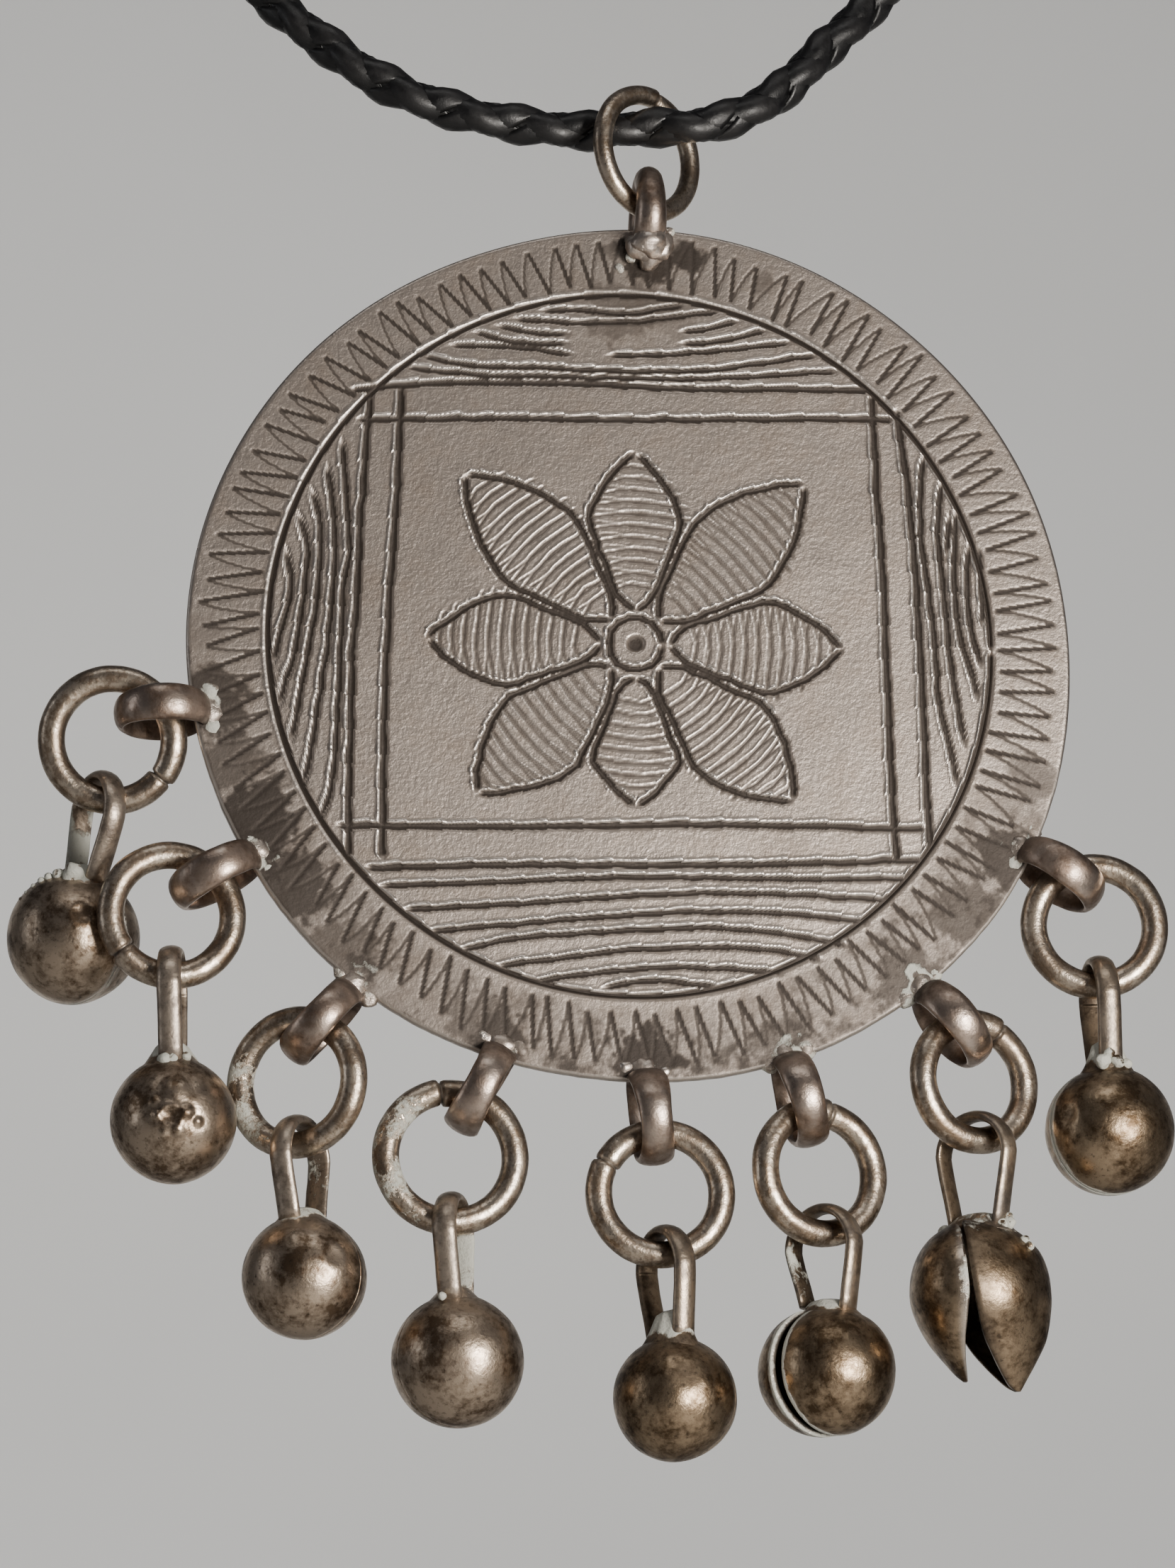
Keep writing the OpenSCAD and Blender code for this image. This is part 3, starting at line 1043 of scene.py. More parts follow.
class Pattern:
    """Every line of the engraving: frame, line fields, scribed circle, zigzag border and a star of leaves.

    The tables of lines hold the points (x, z) that each one runs through.
    """

    FRAME = Cut(0.17, 0.32, 0.12, push=2.6, start=0.5, end=0.4, dirt_and_shade=1.0)
    FIELD = Cut(0.17, 0.27, 0.13, push=2.2, start=1.0, end=0.8, dirt_and_shade=1.0)
    CIRCLE = Cut(0.17, 0.28, 0.12, push=2.7, dirt_and_shade=1.0)
    TOOTH = Cut(0.05, 0.23, 0.0, push=9.0, start=0.25, end=0.25, dirt_and_shade=1.0, clean=1.6)
    HAIR = Cut(0.035, 0.16, 0.0, push=9.0, start=0.25, end=0.25, dirt_and_shade=0.9, clean=1.6)
    EDGE = Cut(0.20, 0.30, 0.15, push=0.9, start=0.3, end=0.5, dirt_and_shade=1.0, knot=0.6)
    HATCH = Cut(0.08, 0.16, 0.06, push=9.0, start=0.1, end=0.3, dirt_and_shade=0.75)
    BACK = Cut(0.06, 0.12, 0.02, push=9.0, start=0.1, end=0.3, dirt_and_shade=0.8, clean=1.2)

    FRAME_LINES = (
        ((-21.0, 19.6), (-15.9, 20.3), (-6.3, 20.7), (5.2, 20.6), (12.2, 20.8), (18.3, 20.9)),
        ((-20.6, 17.3), (-10, 17.8), (0, 18.0), (16.2, 18.6), (20.1, 18.6)),
        ((-21.7, -13.9), (-8, -13.6), (5.8, -13.1), (22, -13.0)),
        ((-19.5, -17.0), (-8, -16.5), (0.5, -16.3), (10.1, -16.0), (22.1, -15.4)),
        ((-19.5, 19.4), (-20.1, 10), (-20.4, 3.1), (-20.7, -2.8), (-20.8, -16.3)),
        ((-17.2, 20.2), (-17.4, 12.8), (-17.8, 6), (-18.2, -2.8), (-18.3, -16.2)),
        ((18.3, 20.7), (18.6, 13.9), (19, 6.4), (19.3, -3.6), (19.6, -12.5), (19.8, -15.6)),
        ((20.2, 19.6), (20.9, 14), (21.5, 6.4), (21.9, -3.5), (22.2, -12.2), (22.4, -14.8)),
    )
    FIELD_LINES = (
        ((-7, 26.4), (-3.6, 26.5), (-0.2, 26.4), (2.7, 26.9), (4.4, 27.3)),
        ((-9, 25.7), (-4.8, 25.5), (0, 25.7), (4, 26.3), (7.1, 26.8)),
        ((-10.3, 25.1), (-7, 24.6), (-4.4, 24.6)),
        ((3.5, 24.9), (4.9, 25.2), (8.5, 26.0)),
        ((-12.1, 24.6), (-8.2, 23.8), (-4.5, 23.9)),
        ((3.5, 24.1), (6.5, 24.4), (10.6, 25.4)),
        ((-13.8, 23.4), (-8.5, 23.4), (-4, 22.9)),
        ((-1.9, 23.0), (2.5, 23.2), (8.6, 23.9), (12.4, 24.5)),
        ((-16, 22.6), (-12.1, 21.9), (-6.3, 21.9), (0, 21.8), (5.6, 22.1), (10.5, 22.9), (14.5, 23.6)),
        ((-17.2, 21.6), (-12.1, 21.2), (-8.2, 21.2), (1.7, 21.3), (7.3, 21.5), (16, 22.4)),
        ((-18.7, -18.4), (-8, -17.7), (0.5, -17.2), (10.1, -17.1), (21, -16.8)),
        ((-16.9, -20.1), (-7.9, -19.4), (1.9, -18.5), (10.1, -18.2), (19.6, -18.5)),
        ((-15.1, -21.7), (-6.3, -20.7), (3.5, -19.8), (11.7, -19.7), (17.9, -20.3)),
        ((-12.8, -23), (-7.9, -22), (3.5, -21), (10, -21.1), (16.3, -22.0)),
        ((-10.1, -24.2), (-1.4, -22.9), (5.1, -22.4), (10, -22.4), (14.3, -23.2)),
        ((-7.4, -25.3), (-1.4, -24.3), (5.1, -23.9), (11.5, -24.2)),
        ((-2.3, -25.7), (0.7, -25), (3.5, -25), (6.6, -25.4)),
        ((-21.6, 16), (-20.9, 7), (-21.3, 5.6), (-21.5, 0.4), (-22, -10.2), (-23, -13.5)),
        ((-22.7, 14), (-22, 8.6), (-22.2, 3.1), (-22.8, -2.4), (-23.8, -8.9), (-24.3, -11)),
        ((-23.9, 12.1), (-23.1, 9.1), (-23.3, 3.6), (-23.8, 0.3), (-25.1, -7.6)),
        ((-24.9, 10.1), (-24.1, 7.7), (-24.3, 3.6), (-24.9, -0.5), (-26.1, -4.9)),
        ((-25.7, 7.4), (-25.2, 4.4), (-26, 0.8), (-26.5, -1.7)),
        ((22.4, 16.2), (22, 14.5), (22, 9), (22.6, 4), (23.2, -3.5), (23.9, -6.7), (24.4, -9.7)),
        ((23.6, 14.2), (23.2, 10.3), (23.5, 6), (24, 0.3), (24.6, -4.2), (25.2, -6.7)),
        ((24.7, 12), (24.5, 9.5), (24.4, 5.3), (24.9, 1.5), (25.7, -1.4), (26.1, -3.2)),
        ((24.1, 11.6), (23.9, 8)),
        ((25.6, 9.3), (25.4, 6.5), (25.6, 2.8), (26.4, -0.6)),
        ((26.2, 9.1), (26.5, 5.3), (26.5, 2.6)),
    )
    LEAF_LENGTHS = (15.5, 18.0, 14.8, 18.0, 15.5, 16.6, 12.4, 16.6)
    LEAF_HALF = 3.55
    LEAF_ROOT = 2.6
    LEAF_SLOPE = 0.37
    HATCH_FROM = 4.2
    HATCH_STEP = 0.92
    TEETH = 112
    DOT = (0.4, 0.6)
    DOT_RADIUS = 0.62
    DOT_DEPTH = 0.28
    CORE_RADIUS = 2.0

    def __init__(self, disc: "Disc") -> None:
        """Draws all lines.

        Args:
            disc: The disc that they are cut into.
        """
        self.disc = disc
        self.random = np.random.default_rng(11)
        self.lines: list[tuple[np.ndarray, Cut]] = []
        for points in self.FRAME_LINES:
            self.draw(points, self.FRAME)
        for points in self.FIELD_LINES:
            self.draw(points, self.FIELD)
        self.circle()
        self.zigzag()
        self.star()

    def draw(self, points: object, cut: Cut, shake: float = 0.035, spacing: float = 1.1) -> None:
        """Adds a line: a smooth curve in short straight steps, shaken a little by the hand.

        Args:
            points: Points (x, z) that the curve runs through.
            cut: Its kind.
            shake: How far a step's end strays.
            spacing: Length of a step.
        """
        fine = smooth_path(np.array(points, float), 12)
        run = run_along(fine)
        steps = max(2, round(run[-1] / spacing))
        path = points_at(fine, run, np.linspace(0, run[-1], steps + 1))
        self.lines.append((path + self.random.normal(0, shake, path.shape), cut))

    def circle(self) -> None:
        """The scribed circle, closed on itself; like every line, its burr, painted bright as a highlight,
        stands on the line's lit upper left side.
        """
        self.lines.append((self.disc.at_circle(np.linspace(0, FULL, 241), 0.0), self.CIRCLE))

    def zigzag(self) -> None:
        """The border's teeth: a firm straight leg down to the circle and a thin curved one back to the rim.

        They nearly reach the rim, except low on both sides, and stop short of the circle at the bottom.
        """
        count, disc = self.TEETH, self.disc
        steps = np.arange(count + 1) + self.random.normal(0, 0.08, count + 1)
        steps[-1] = steps[0] + count
        feet = steps * FULL / count
        short = 0.45 + 0.55 * bump_at(feet, 4.71, 0.6)
        foot = disc.at_circle(feet, short + self.random.normal(0, 0.15, count + 1))
        tops = (steps[:-1] + 0.55 + self.random.normal(0, 0.09, count)) * FULL / count
        plain = 0.85 + 1.3 * bump_at(tops, 5.5, 0.45) + 0.9 * bump_at(tops, 4.0, 0.35)
        peak = disc.at_rim(tops, plain + self.random.normal(0, 0.16, count))
        for k in range(count):
            self.draw((peak[k], foot[k]), self.TOOTH, 0.0, 2.0)
            lean = (foot[k + 1] + peak[k]) / 2 + 0.14 * (foot[k + 1] - foot[k])
            self.draw((foot[k + 1], lean, peak[k]), self.HAIR, 0.0, 1.5)

    def star(self) -> None:
        """Eight pointed leaves round the middle, outlined with short pushes and filled with a tight zigzag.

        Each stroke of the zigzag bends over from one edge to the other and runs a little past it; a thinner
        one leads straight back. A small ring round the middle joins the leaves.
        """
        middle = np.array(self.DOT)
        share = np.linspace(0, 1, 15)
        swell = self.LEAF_HALF * np.sin(math.pi * share**0.95) ** 0.85 + 0.05
        for angle, length in zip(turns(8), self.LEAF_LENGTHS):
            ahead = np.array([math.cos(angle), math.sin(angle)])
            side = np.array([-ahead[1], ahead[0]])
            reach = self.LEAF_ROOT + (length - self.LEAF_ROOT) * share
            half = np.minimum(swell, self.LEAF_SLOPE * reach)
            spine = middle + reach[:, None] * ahead
            for sign in (1, -1):
                self.draw(spine + sign * half[:, None] * side, self.EDGE, 0.05, 0.9)
            places = np.arange(self.HATCH_FROM, length - 1.0, self.HATCH_STEP)
            past = 0.35 + self.random.uniform(0.1, 0.55, len(places))
            wide = np.interp(places, reach, half)[:, None] * side
            spots = middle + places[:, None] * ahead
            for at, across, tick in zip(spots, wide, past[:, None] * side):
                stroke = (at + 0.95 * across, at + 0.42 * ahead, at - across - tick - 0.1 * ahead)
                self.draw(stroke, self.HATCH, 0.03, 1.2)
                self.draw((at - 0.95 * across, at + 0.55 * ahead + 0.95 * across), self.BACK, 0.03, 1.2)
        self.draw(on_circle(self.DOT, self.CORE_RADIUS, np.linspace(0, FULL, 25)), self.EDGE, 0.04, 0.9)

    def cut_into(self, face: np.ndarray, stain: np.ndarray) -> tuple[np.ndarray, np.ndarray]:
        """Cuts all lines into a patch of the face.

        Args:
            face: Rows by columns by 3.
            stain: Dark stains of the same arrangement.

        Returns:
            The patch with its relief, and its values of wear and painted light.
        """
        engraving = Engraving(face)
        for path, cut in self.lines:
            engraving.stroke(path, cut)
        engraving.pit(*self.DOT, self.DOT_RADIUS, self.DOT_DEPTH)
        return engraving.finished(stain)


@dataclass
class Disc:
    """The plate: a border band with the zigzag, and the face inside the scribed circle in three strips.

    edge holds the section of the rim from front to back: how far inside the rim, and y. waves holds what
    makes the rim uneven: waves to a turn, height and place in degrees. stains holds x, z, radius and
    darkness.
    """

    circle_r: float = 27.0
    circle_at: tuple[float, float] = (0.1, 0.8)
    middle: tuple[float, float] = (0.27, 0.19)
    rim_r: float = 32.95
    front: float = -0.5
    back: float = 0.5
    floor: float = -0.1
    hub_r: float = 1.0
    slab: float = 0.5
    pitch: float = 0.12
    round_steps: int = 1560
    border_rows: int = 38
    close_degrees: float = 12.0
    edge_bright: float = 0.35
    seams: tuple[float, float] = (-11.0, 11.0)
    edge: tuple[tuple[float, float], ...] = (
        (0.1, -0.45), (0.0, -0.3), (0.0, 0.3), (0.1, 0.45), (0.25, 0.5), (2.0, 0.5), (3.5, 0.5),
    )
    waves: tuple[tuple[int, float, float], ...] = (
        (2, 0.12, 30), (3, 0.15, 149), (4, 0.11, 132), (5, 0.05, -87), (7, 0.05, 173),
    )
    stains: tuple[tuple[float, float, float, float], ...] = (
        (2.2, 30.2, 2.0, 1.0), (4.3, 30.9, 1.6, 1.0), (0.6, 29.8, 1.2, 1.0), (-1.1, 31.2, 1.0, 0.8),
        (0.0, 26.8, 3.4, 0.75), (3.2, 26.2, 2.4, 0.6), (10.2, 29.2, 1.0, 0.75), (-31.3, -5.3, 3.2, 0.95),
        (-30.0, -9.4, 3.0, 0.85), (-28.0, -14.4, 4.4, 1.0), (-25.2, -19.0, 3.8, 0.95),
        (-21.8, -23.2, 2.8, 0.8), (-9.8, -30.4, 3.0, 0.95), (-11.8, -28.4, 2.6, 0.8), (1.2, -31.0, 3.2, 1.0),
        (11.0, -30.4, 2.6, 0.8), (20.8, -24.6, 3.2, 0.85), (25.4, -19.6, 3.6, 0.85), (28.4, -15.2, 3.0, 0.95),
        (30.3, -9.0, 2.2, 0.7), (-31.4, 0.6, 1.8, 0.6), (-17.5, -27.5, 2.0, 0.6),
    )

    def rim(self, angle: np.ndarray) -> np.ndarray:
        """Radius of the rim: its mean, a few cosines of the angle, and small nicks in its lower half.

        Args:
            angle: Angles round the disc's middle, in radians.

        Returns:
            One radius for each angle.
        """
        waves = sum(high * np.cos(times * angle + math.radians(at)) for times, high, at in self.waves)
        nicks = LUMPS.rough(33 * stacked(np.cos(angle), 0.0, np.sin(angle)), 1.6)
        return self.rim_r + waves + 0.07 * smooth_step(-np.sin(angle), 0.1, 0.5) * nicks

    def on_rim(self, degrees: float, out: float = 0.0) -> np.ndarray:
        """Place on the rim's mean circle, or a little outside it."""
        return np.array([self.middle[0], 0.0, self.middle[1]]) + (self.rim_r + out) * way(degrees)

    def at_circle(self, angle: np.ndarray, out: np.ndarray | float) -> np.ndarray:
        """Points (x, z) that lie a little outside the scribed circle."""
        return on_circle(self.circle_at, self.circle_r + out, angle)

    def at_rim(self, angle: np.ndarray, inside: np.ndarray | float) -> np.ndarray:
        """Points (x, z) that lie a little inside the rim."""
        return on_circle(self.middle, self.rim(angle) - inside, angle)

    def stain(self, face: np.ndarray) -> np.ndarray:
        """Dark stains: round spots with ragged edges where the metal was heated, and soot low on the border.

        Args:
            face: Places, with x, y and z on the last axis.

        Returns:
            How dark each place is, from 0 to 1.
        """
        flat = face * [1, 0, 1]
        ragged = LUMPS.rough(flat, 2.4)
        fine = LUMPS.rough(flat + 40, 0.7) + 0.7 * LUMPS.rough(flat + 80, 0.35)
        total = np.zeros(face.shape[:-1])
        for x, z, radius, dark in self.stains:
            near = 1.25 - apart(face, x, z) / radius + 0.45 * (ragged + fine)
            total = np.maximum(total, dark * smooth_step(near, 0.0, 0.6))
        out = apart(face, *self.circle_at)
        border = smooth_step(out, self.circle_r, self.circle_r + 1.5) * smooth_step(-face[..., 2], 4, 16)
        spread = smooth_step(0.4 * ragged + 0.5 * fine + 0.05 * (out - 30), -0.1, 0.5)
        return np.maximum(total, border * (0.45 + 0.5 * spread))

    def crust(self, face: np.ndarray) -> np.ndarray:
        """Pale corrosion that has spread over the border from the solder of each loop, with ragged edges.

        Args:
            face: Places, with x, y and z on the last axis.

        Returns:
            How corroded each place is, from 0 to 1.
        """
        flat = face * [1, 0, 1]
        ragged = LUMPS.rough(flat + 15, 1.4)
        holes = 1 - 0.75 * smooth_step(LUMPS.rough(flat + 60, 0.6), 0.0, 0.4)
        total = np.zeros(face.shape[:-1])
        for drop in DROPS:
            x, _, z = self.on_rim(drop.at, -0.6)
            near = 1.0 - apart(face, x, z) / 1.8 + 0.9 * ragged
            total = np.maximum(total, drop.rim_crust * smooth_step(near, 0.1, 0.6))
        return total * holes

    def sway(self, face: np.ndarray) -> np.ndarray:
        """Shallow waves of the beaten sheet, along Y."""
        return 0.05 * LUMPS.rough(face * [1, 0, 1], 9.0)

    def plate(self, pattern: Pattern, silver: bpy.types.Material) -> None:
        """The band outside the scribed circle with the rim, the back, and a floor under the strips.

        Rings of points run from the floor's hub outwards over the border, round the rim and back to the hub.
        The rolled edge is bright, and a little of the stains shows behind it.

        Args:
            pattern: The engraved lines.
            silver: The finish.
        """
        angle = turns(self.round_steps)
        hub, inside = self.at_circle(angle, self.hub_r - self.circle_r), self.at_circle(angle, 0.0)
        share = np.linspace(0, 1, self.border_rows)[:, None, None]
        face = raised(inside + (self.at_rim(angle, 0.25) - inside) * share, self.front)
        border, wear_and_light = pattern.cut_into(face, self.stain(face))
        wear_and_light[..., 1] = self.crust(face)
        border[..., 1] += self.sway(face)
        inset, y = np.array(self.edge).T[..., None]
        edge = raised(self.at_rim(angle, inset), y)
        edge[..., 1] += self.sway(edge)
        worn = stacked(0.5 * (inset < 3) * self.stain(edge), 0.0, self.edge_bright * (inset < 0.2))
        floor = np.stack([raised(hub, self.floor), raised(inside, self.floor)])
        grid = np.concatenate([floor, border, edge, raised(hub, self.back)[None]])
        bare, skin = np.zeros_like(floor), Skin()
        skin.add_tube(grid, np.concatenate([bare, wear_and_light, worn, bare[:1]]))
        skin.make("plate_and_border", silver, Body.PENDANT, Slot.DISC, "disc")

    def strips(self, pattern: Pattern, silver: bpy.types.Material) -> None:
        """The face inside the circle, one grid cut along two columns so that each strip stays small.

        Columns stand a pitch apart and close up towards both ends of the circle. The points of a column are
        spread evenly over its chord.

        Args:
            pattern: The engraved lines.
            silver: The finish.
        """
        close = self.circle_r * np.cos(np.linspace(math.radians(self.close_degrees), 0, 10))
        inner = np.linspace(-close[0], close[0], int(2 * close[0] / self.pitch))[1:-1]
        x = np.concatenate([-close[::-1], inner, close])
        tall = np.sqrt(np.maximum(self.circle_r**2 - x**2, 1e-4))
        rows = int(2 * self.circle_r / self.pitch)
        z = self.circle_at[1] + np.linspace(-1, 1, rows)[:, None] * tall
        face = stacked(self.circle_at[0] + x, self.front, z)
        cut, wear_and_light = pattern.cut_into(face, self.stain(face))
        cut[..., 1] += self.sway(face)
        normals = unit(np.cross(np.gradient(cut, axis=1), np.gradient(cut, axis=0)))
        columns = [0, *np.searchsorted(x, self.seams), len(x) - 1]
        for name, (low, high) in zip(("left", "middle", "right"), pairwise(columns)):
            skin = Skin()
            skin.add_slab(*(part[:, low : high + 1] for part in (cut, wear_and_light, normals)), self.slab)
            skin.make(f"engraved_face_{name}", silver, Body.PENDANT, Slot.DISC, "disc")

    def build(self, silver: bpy.types.Material) -> None:
        """Makes the plate and its face.

        Args:
            silver: The finish.
        """
        pattern = Pattern(self)
        self.plate(pattern, silver)
        self.strips(pattern, silver)


@dataclass
class RimLoops:
    """Strap loops on the rim and the wire loop on top, with the solder at their feet.

    heap holds the lumps at the top loop: x from its middle, y, height above the rim, size and paleness.
    """

    disc: Disc
    mean_r: float = 3.0
    deep: float = 0.6
    wide: float = 1.3
    inner: float = 0.45
    bail_at: Place = (1.4, 0, 34.3)
    bail_r: float = 2.75
    bail_wire: float = 1.15
    foot_in: float = 0.35
    side_lump: Place = (0.9, 0.7, 0.9)
    side_gap: float = 1.4
    foot_lump: Place = (1.05, 0.75, 1.05)
    heap_lump: Place = (1.0, 0.8, 1.0)
    heap: tuple[tuple[float, float, float, float, float], ...] = (
        (0.05, -2.2, -1.45, 1.35, 0.1), (-0.65, -1.6, -1.8, 1.15, 0.15), (0.7, -1.6, -1.6, 1.2, 0.1),
        (0.1, -1.0, -2.2, 1.1, 0.1), (-1.35, -1.1, -2.6, 0.45, 0.9), (1.5, -1.4, -0.5, 0.45, 0.7),
        (-2.1, -0.45, -3.2, 0.38, 0.5), (0.0, 0.55, -1.9, 1.1, 0.1),
    )

    def loops(self, silver: bpy.types.Material) -> None:
        """Domed bands beaten round the jump rings, one at each place on the rim, and the top loop.

        Args:
            silver: The finish.
        """
        skin, angle, wire = Skin(), turns(72), self.bail_wire
        for number, drop in enumerate(DROPS):
            wide = self.wide * (1 - 0.07 * np.cos(2 * angle + number))
            middle = drop.loop_at(self.disc)
            grid = hoop_grid(middle, way(drop.to), FRONT, angle, self.mean_r, self.deep, wide, self.inner)
            skin.add_tube(hammered(grid, 2.2, 0.06), self.marks(grid, angle, number), ring=True)
        wide = wire * (1 - 0.1 * np.cos(angle))
        grid = hoop_grid(np.array(self.bail_at), UP, FRONT, angle, self.bail_r, wire * 0.92, wide)
        skin.add_tube(hammered(grid, 1.8, 0.05), self.marks(grid, angle, 9), ring=True)
        skin.make("rim_loops", silver, Body.PENDANT, Slot.DISC, "disc")

    def marks(self, grid: np.ndarray, angle: np.ndarray, number: int) -> np.ndarray:
        """Wear of a loop: brown where it was heated at the foot, rubbed bright where it bulges.

        Args:
            grid: The loop's sections.
            angle: Angle of each section, with the foot at 180 degrees.
            number: Number of the loop, so that each one is mottled in its own way.

        Returns:
            Wear values of the grid's points.
        """
        foot = smooth_step(-np.cos(angle), 0.3, 0.95)[:, None]
        rough = LUMPS.rough(grid + 3 * number, 1.3)
        dark = 0.55 * foot + 0.35 * smooth_step(rough, 0.1, 0.5)
        return stacked(dark, 0.0, 0.2 * (1 - foot) * smooth_step(-rough, 0.0, 0.5))

    def solder(self, paste: bpy.types.Material) -> None:
        """Corroded solder at the loops' feet.

        A lump stands at each side of a loop's foot, with one between them. The top loop's foot is a heap of
        bright melted metal.

        Args:
            paste: The finish.
        """
        skin, random = Skin(), np.random.default_rng(5)
        for drop in DROPS:
            sideways, inward = way(drop.at + 90), -way(drop.at)
            foot = drop.loop_at(self.disc) - (self.mean_r + self.foot_in) * way(drop.to)
            for side in (-1, 1):
                size = random.uniform(0.65, 0.95)
                place = foot + side * self.side_gap * sideways + random.uniform(0.0, 0.4) * inward
                add_blob(skin, place, size * np.array(self.side_lump), drop.rim_crust)
            add_blob(skin, foot + 0.1 * inward, np.array(self.foot_lump), 0.35 * drop.rim_crust)
        rim = self.disc.middle[1] + self.disc.rim_r
        for x, y, z, size, pale in self.heap:
            place = np.array([self.bail_at[0] + x, y, rim + z])
            add_blob(skin, place, size * np.array(self.heap_lump), pale)
        skin.make("solder_lumps", paste, Body.PENDANT, Slot.DISC, "disc")


def add_blob(skin: Skin, centre: np.ndarray, radii: np.ndarray, pale: float) -> None:
    """Adds a lumpy ball to a skin.

    Args:
        skin: The mesh that takes it.
        centre: Its middle.
        radii: Its half sizes along X, Y and Z.
        pale: How corroded it is, from 0 to 1.
    """
    tilt, turn = np.linspace(0.06, math.pi - 0.06, 14)[:, None], turns(20)
    grid = centre + stacked(np.sin(tilt) * np.cos(turn), np.sin(tilt) * np.sin(turn), np.cos(tilt)) * radii
    shift = 0.45 * LUMPS.rough(grid, 1.3) + 0.22 * LUMPS.rough(grid + 30, 0.5)
    grid = centre + (grid - centre) * (1 + shift[..., None])
    rough = LUMPS.rough(grid + 9, 0.6)
    dark = (0.75 - 0.45 * pale) * smooth_step(rough, 0.05, 0.4)
    bright = (0.8 - 0.5 * pale) * smooth_step(-rough, 0.1, 0.5)
    patchy = pale * (1 - 0.7 * smooth_step(rough, 0.0, 0.35))
    skin.add_tube(grid, stacked(dark, patchy, bright))


@dataclass
class Rings:
    """The ring that runs on the cord and the eight jump rings, bent from wire with their ends butted."""

    hang_at: Place = (1.4, 0.05, 39.35)
    hang_r: float = 4.55
    hang_wire: float = 0.75
    hang_turn: float = 37.0
    hang_split: float = 80.0
    wire: float = 1.0
    sides: int = 20

    def wire_ring(
        self, centre: np.ndarray, pose: np.ndarray, radius: float, wire: float, split: float, grey: float
    ) -> tuple[np.ndarray, np.ndarray]:
        """One ring whose two ends meet at a narrow notch, each a hair off the other.

        Args:
            centre: Its middle.
            pose: Matrix that turns it out of the XZ plane.
            radius: Radius to the wire's middle.
            wire: Radius of the wire.
            split: Place of the butted ends, in degrees from +X towards +Z.
            grey: How much pale crust its left side carries.

        Returns:
            Sections of the ring, and their wear values.
        """
        near = np.array([0, 0.002, 0.005, 0.011, 0.02])
        share = np.concatenate([near, np.linspace(0.032, 0.968, 92), 1 - near[:0:-1]])
        angle = math.radians(split) + FULL * share
        gap, first, second = np.minimum(share, 1 - share), pose[:, 0], pose[:, 2]
        ajar = (1 - 2 * share) * bump_at(gap, 0, 0.08)
        thick = wire * (1 - 0.3 * bump_at(gap, 0, 0.004))
        middle = centre + (0.09 * ajar)[:, None] * np.cross(first, second)
        grid = hoop_grid(middle, first, second, angle, radius + 0.05 * ajar, thick, thick, sides=self.sides)
        grid = hammered(grid, 1.7, 0.05)
        line = bump_at(turns(self.sides), (1.15 + 0.3 * np.sin(angle))[:, None], 0.2)
        seam = line * smooth_step(LUMPS.at(grid, 2.5), -0.3, 0.3)
        left = smooth_step(-np.cos(angle), 0.1, 0.8)[:, None] * smooth_step(LUMPS.rough(grid, 1.4), -0.5, 0.3)
        dark = np.maximum(0.9 * bump_at(gap, 0, 0.005)[:, None], 0.55 * seam)
        return grid, stacked(dark, grey * left, 0.12 * (1 - line))

    def dress(
        self, node: str, body: Body, shape: tuple[np.ndarray, np.ndarray], wire: bpy.types.Material
    ) -> None:
        """Makes one ring's piece.

        Args:
            node: The CAD node that the ring stands for.
            body: The body that it rides on.
            shape: Its sections and wear values.
            wire: The finish.
        """
        skin = Skin()
        skin.add_tube(*shape, ring=True)
        skin.make(f"{node}_wire", wire, body, Slot.RING, node)

    def build(self, wire: bpy.types.Material) -> None:
        """Makes the nine rings.

        Args:
            wire: The finish.
        """
        centre, pose = np.array(self.hang_at), turned(z=self.hang_turn)
        shape = self.wire_ring(centre, pose, self.hang_r, self.hang_wire, self.hang_split, 0.0)
        self.dress("hanging_ring", Body.RING, shape, wire)
        for number, drop in enumerate(DROPS, 1):
            pose = turned(x=drop.tip, z=drop.turn)
            shape = self.wire_ring(np.array(drop.ring), pose, drop.ring_r, self.wire, drop.split, drop.grey)
            self.dress(f"jump_ring_{number}", Body.PENDANT, shape, wire)


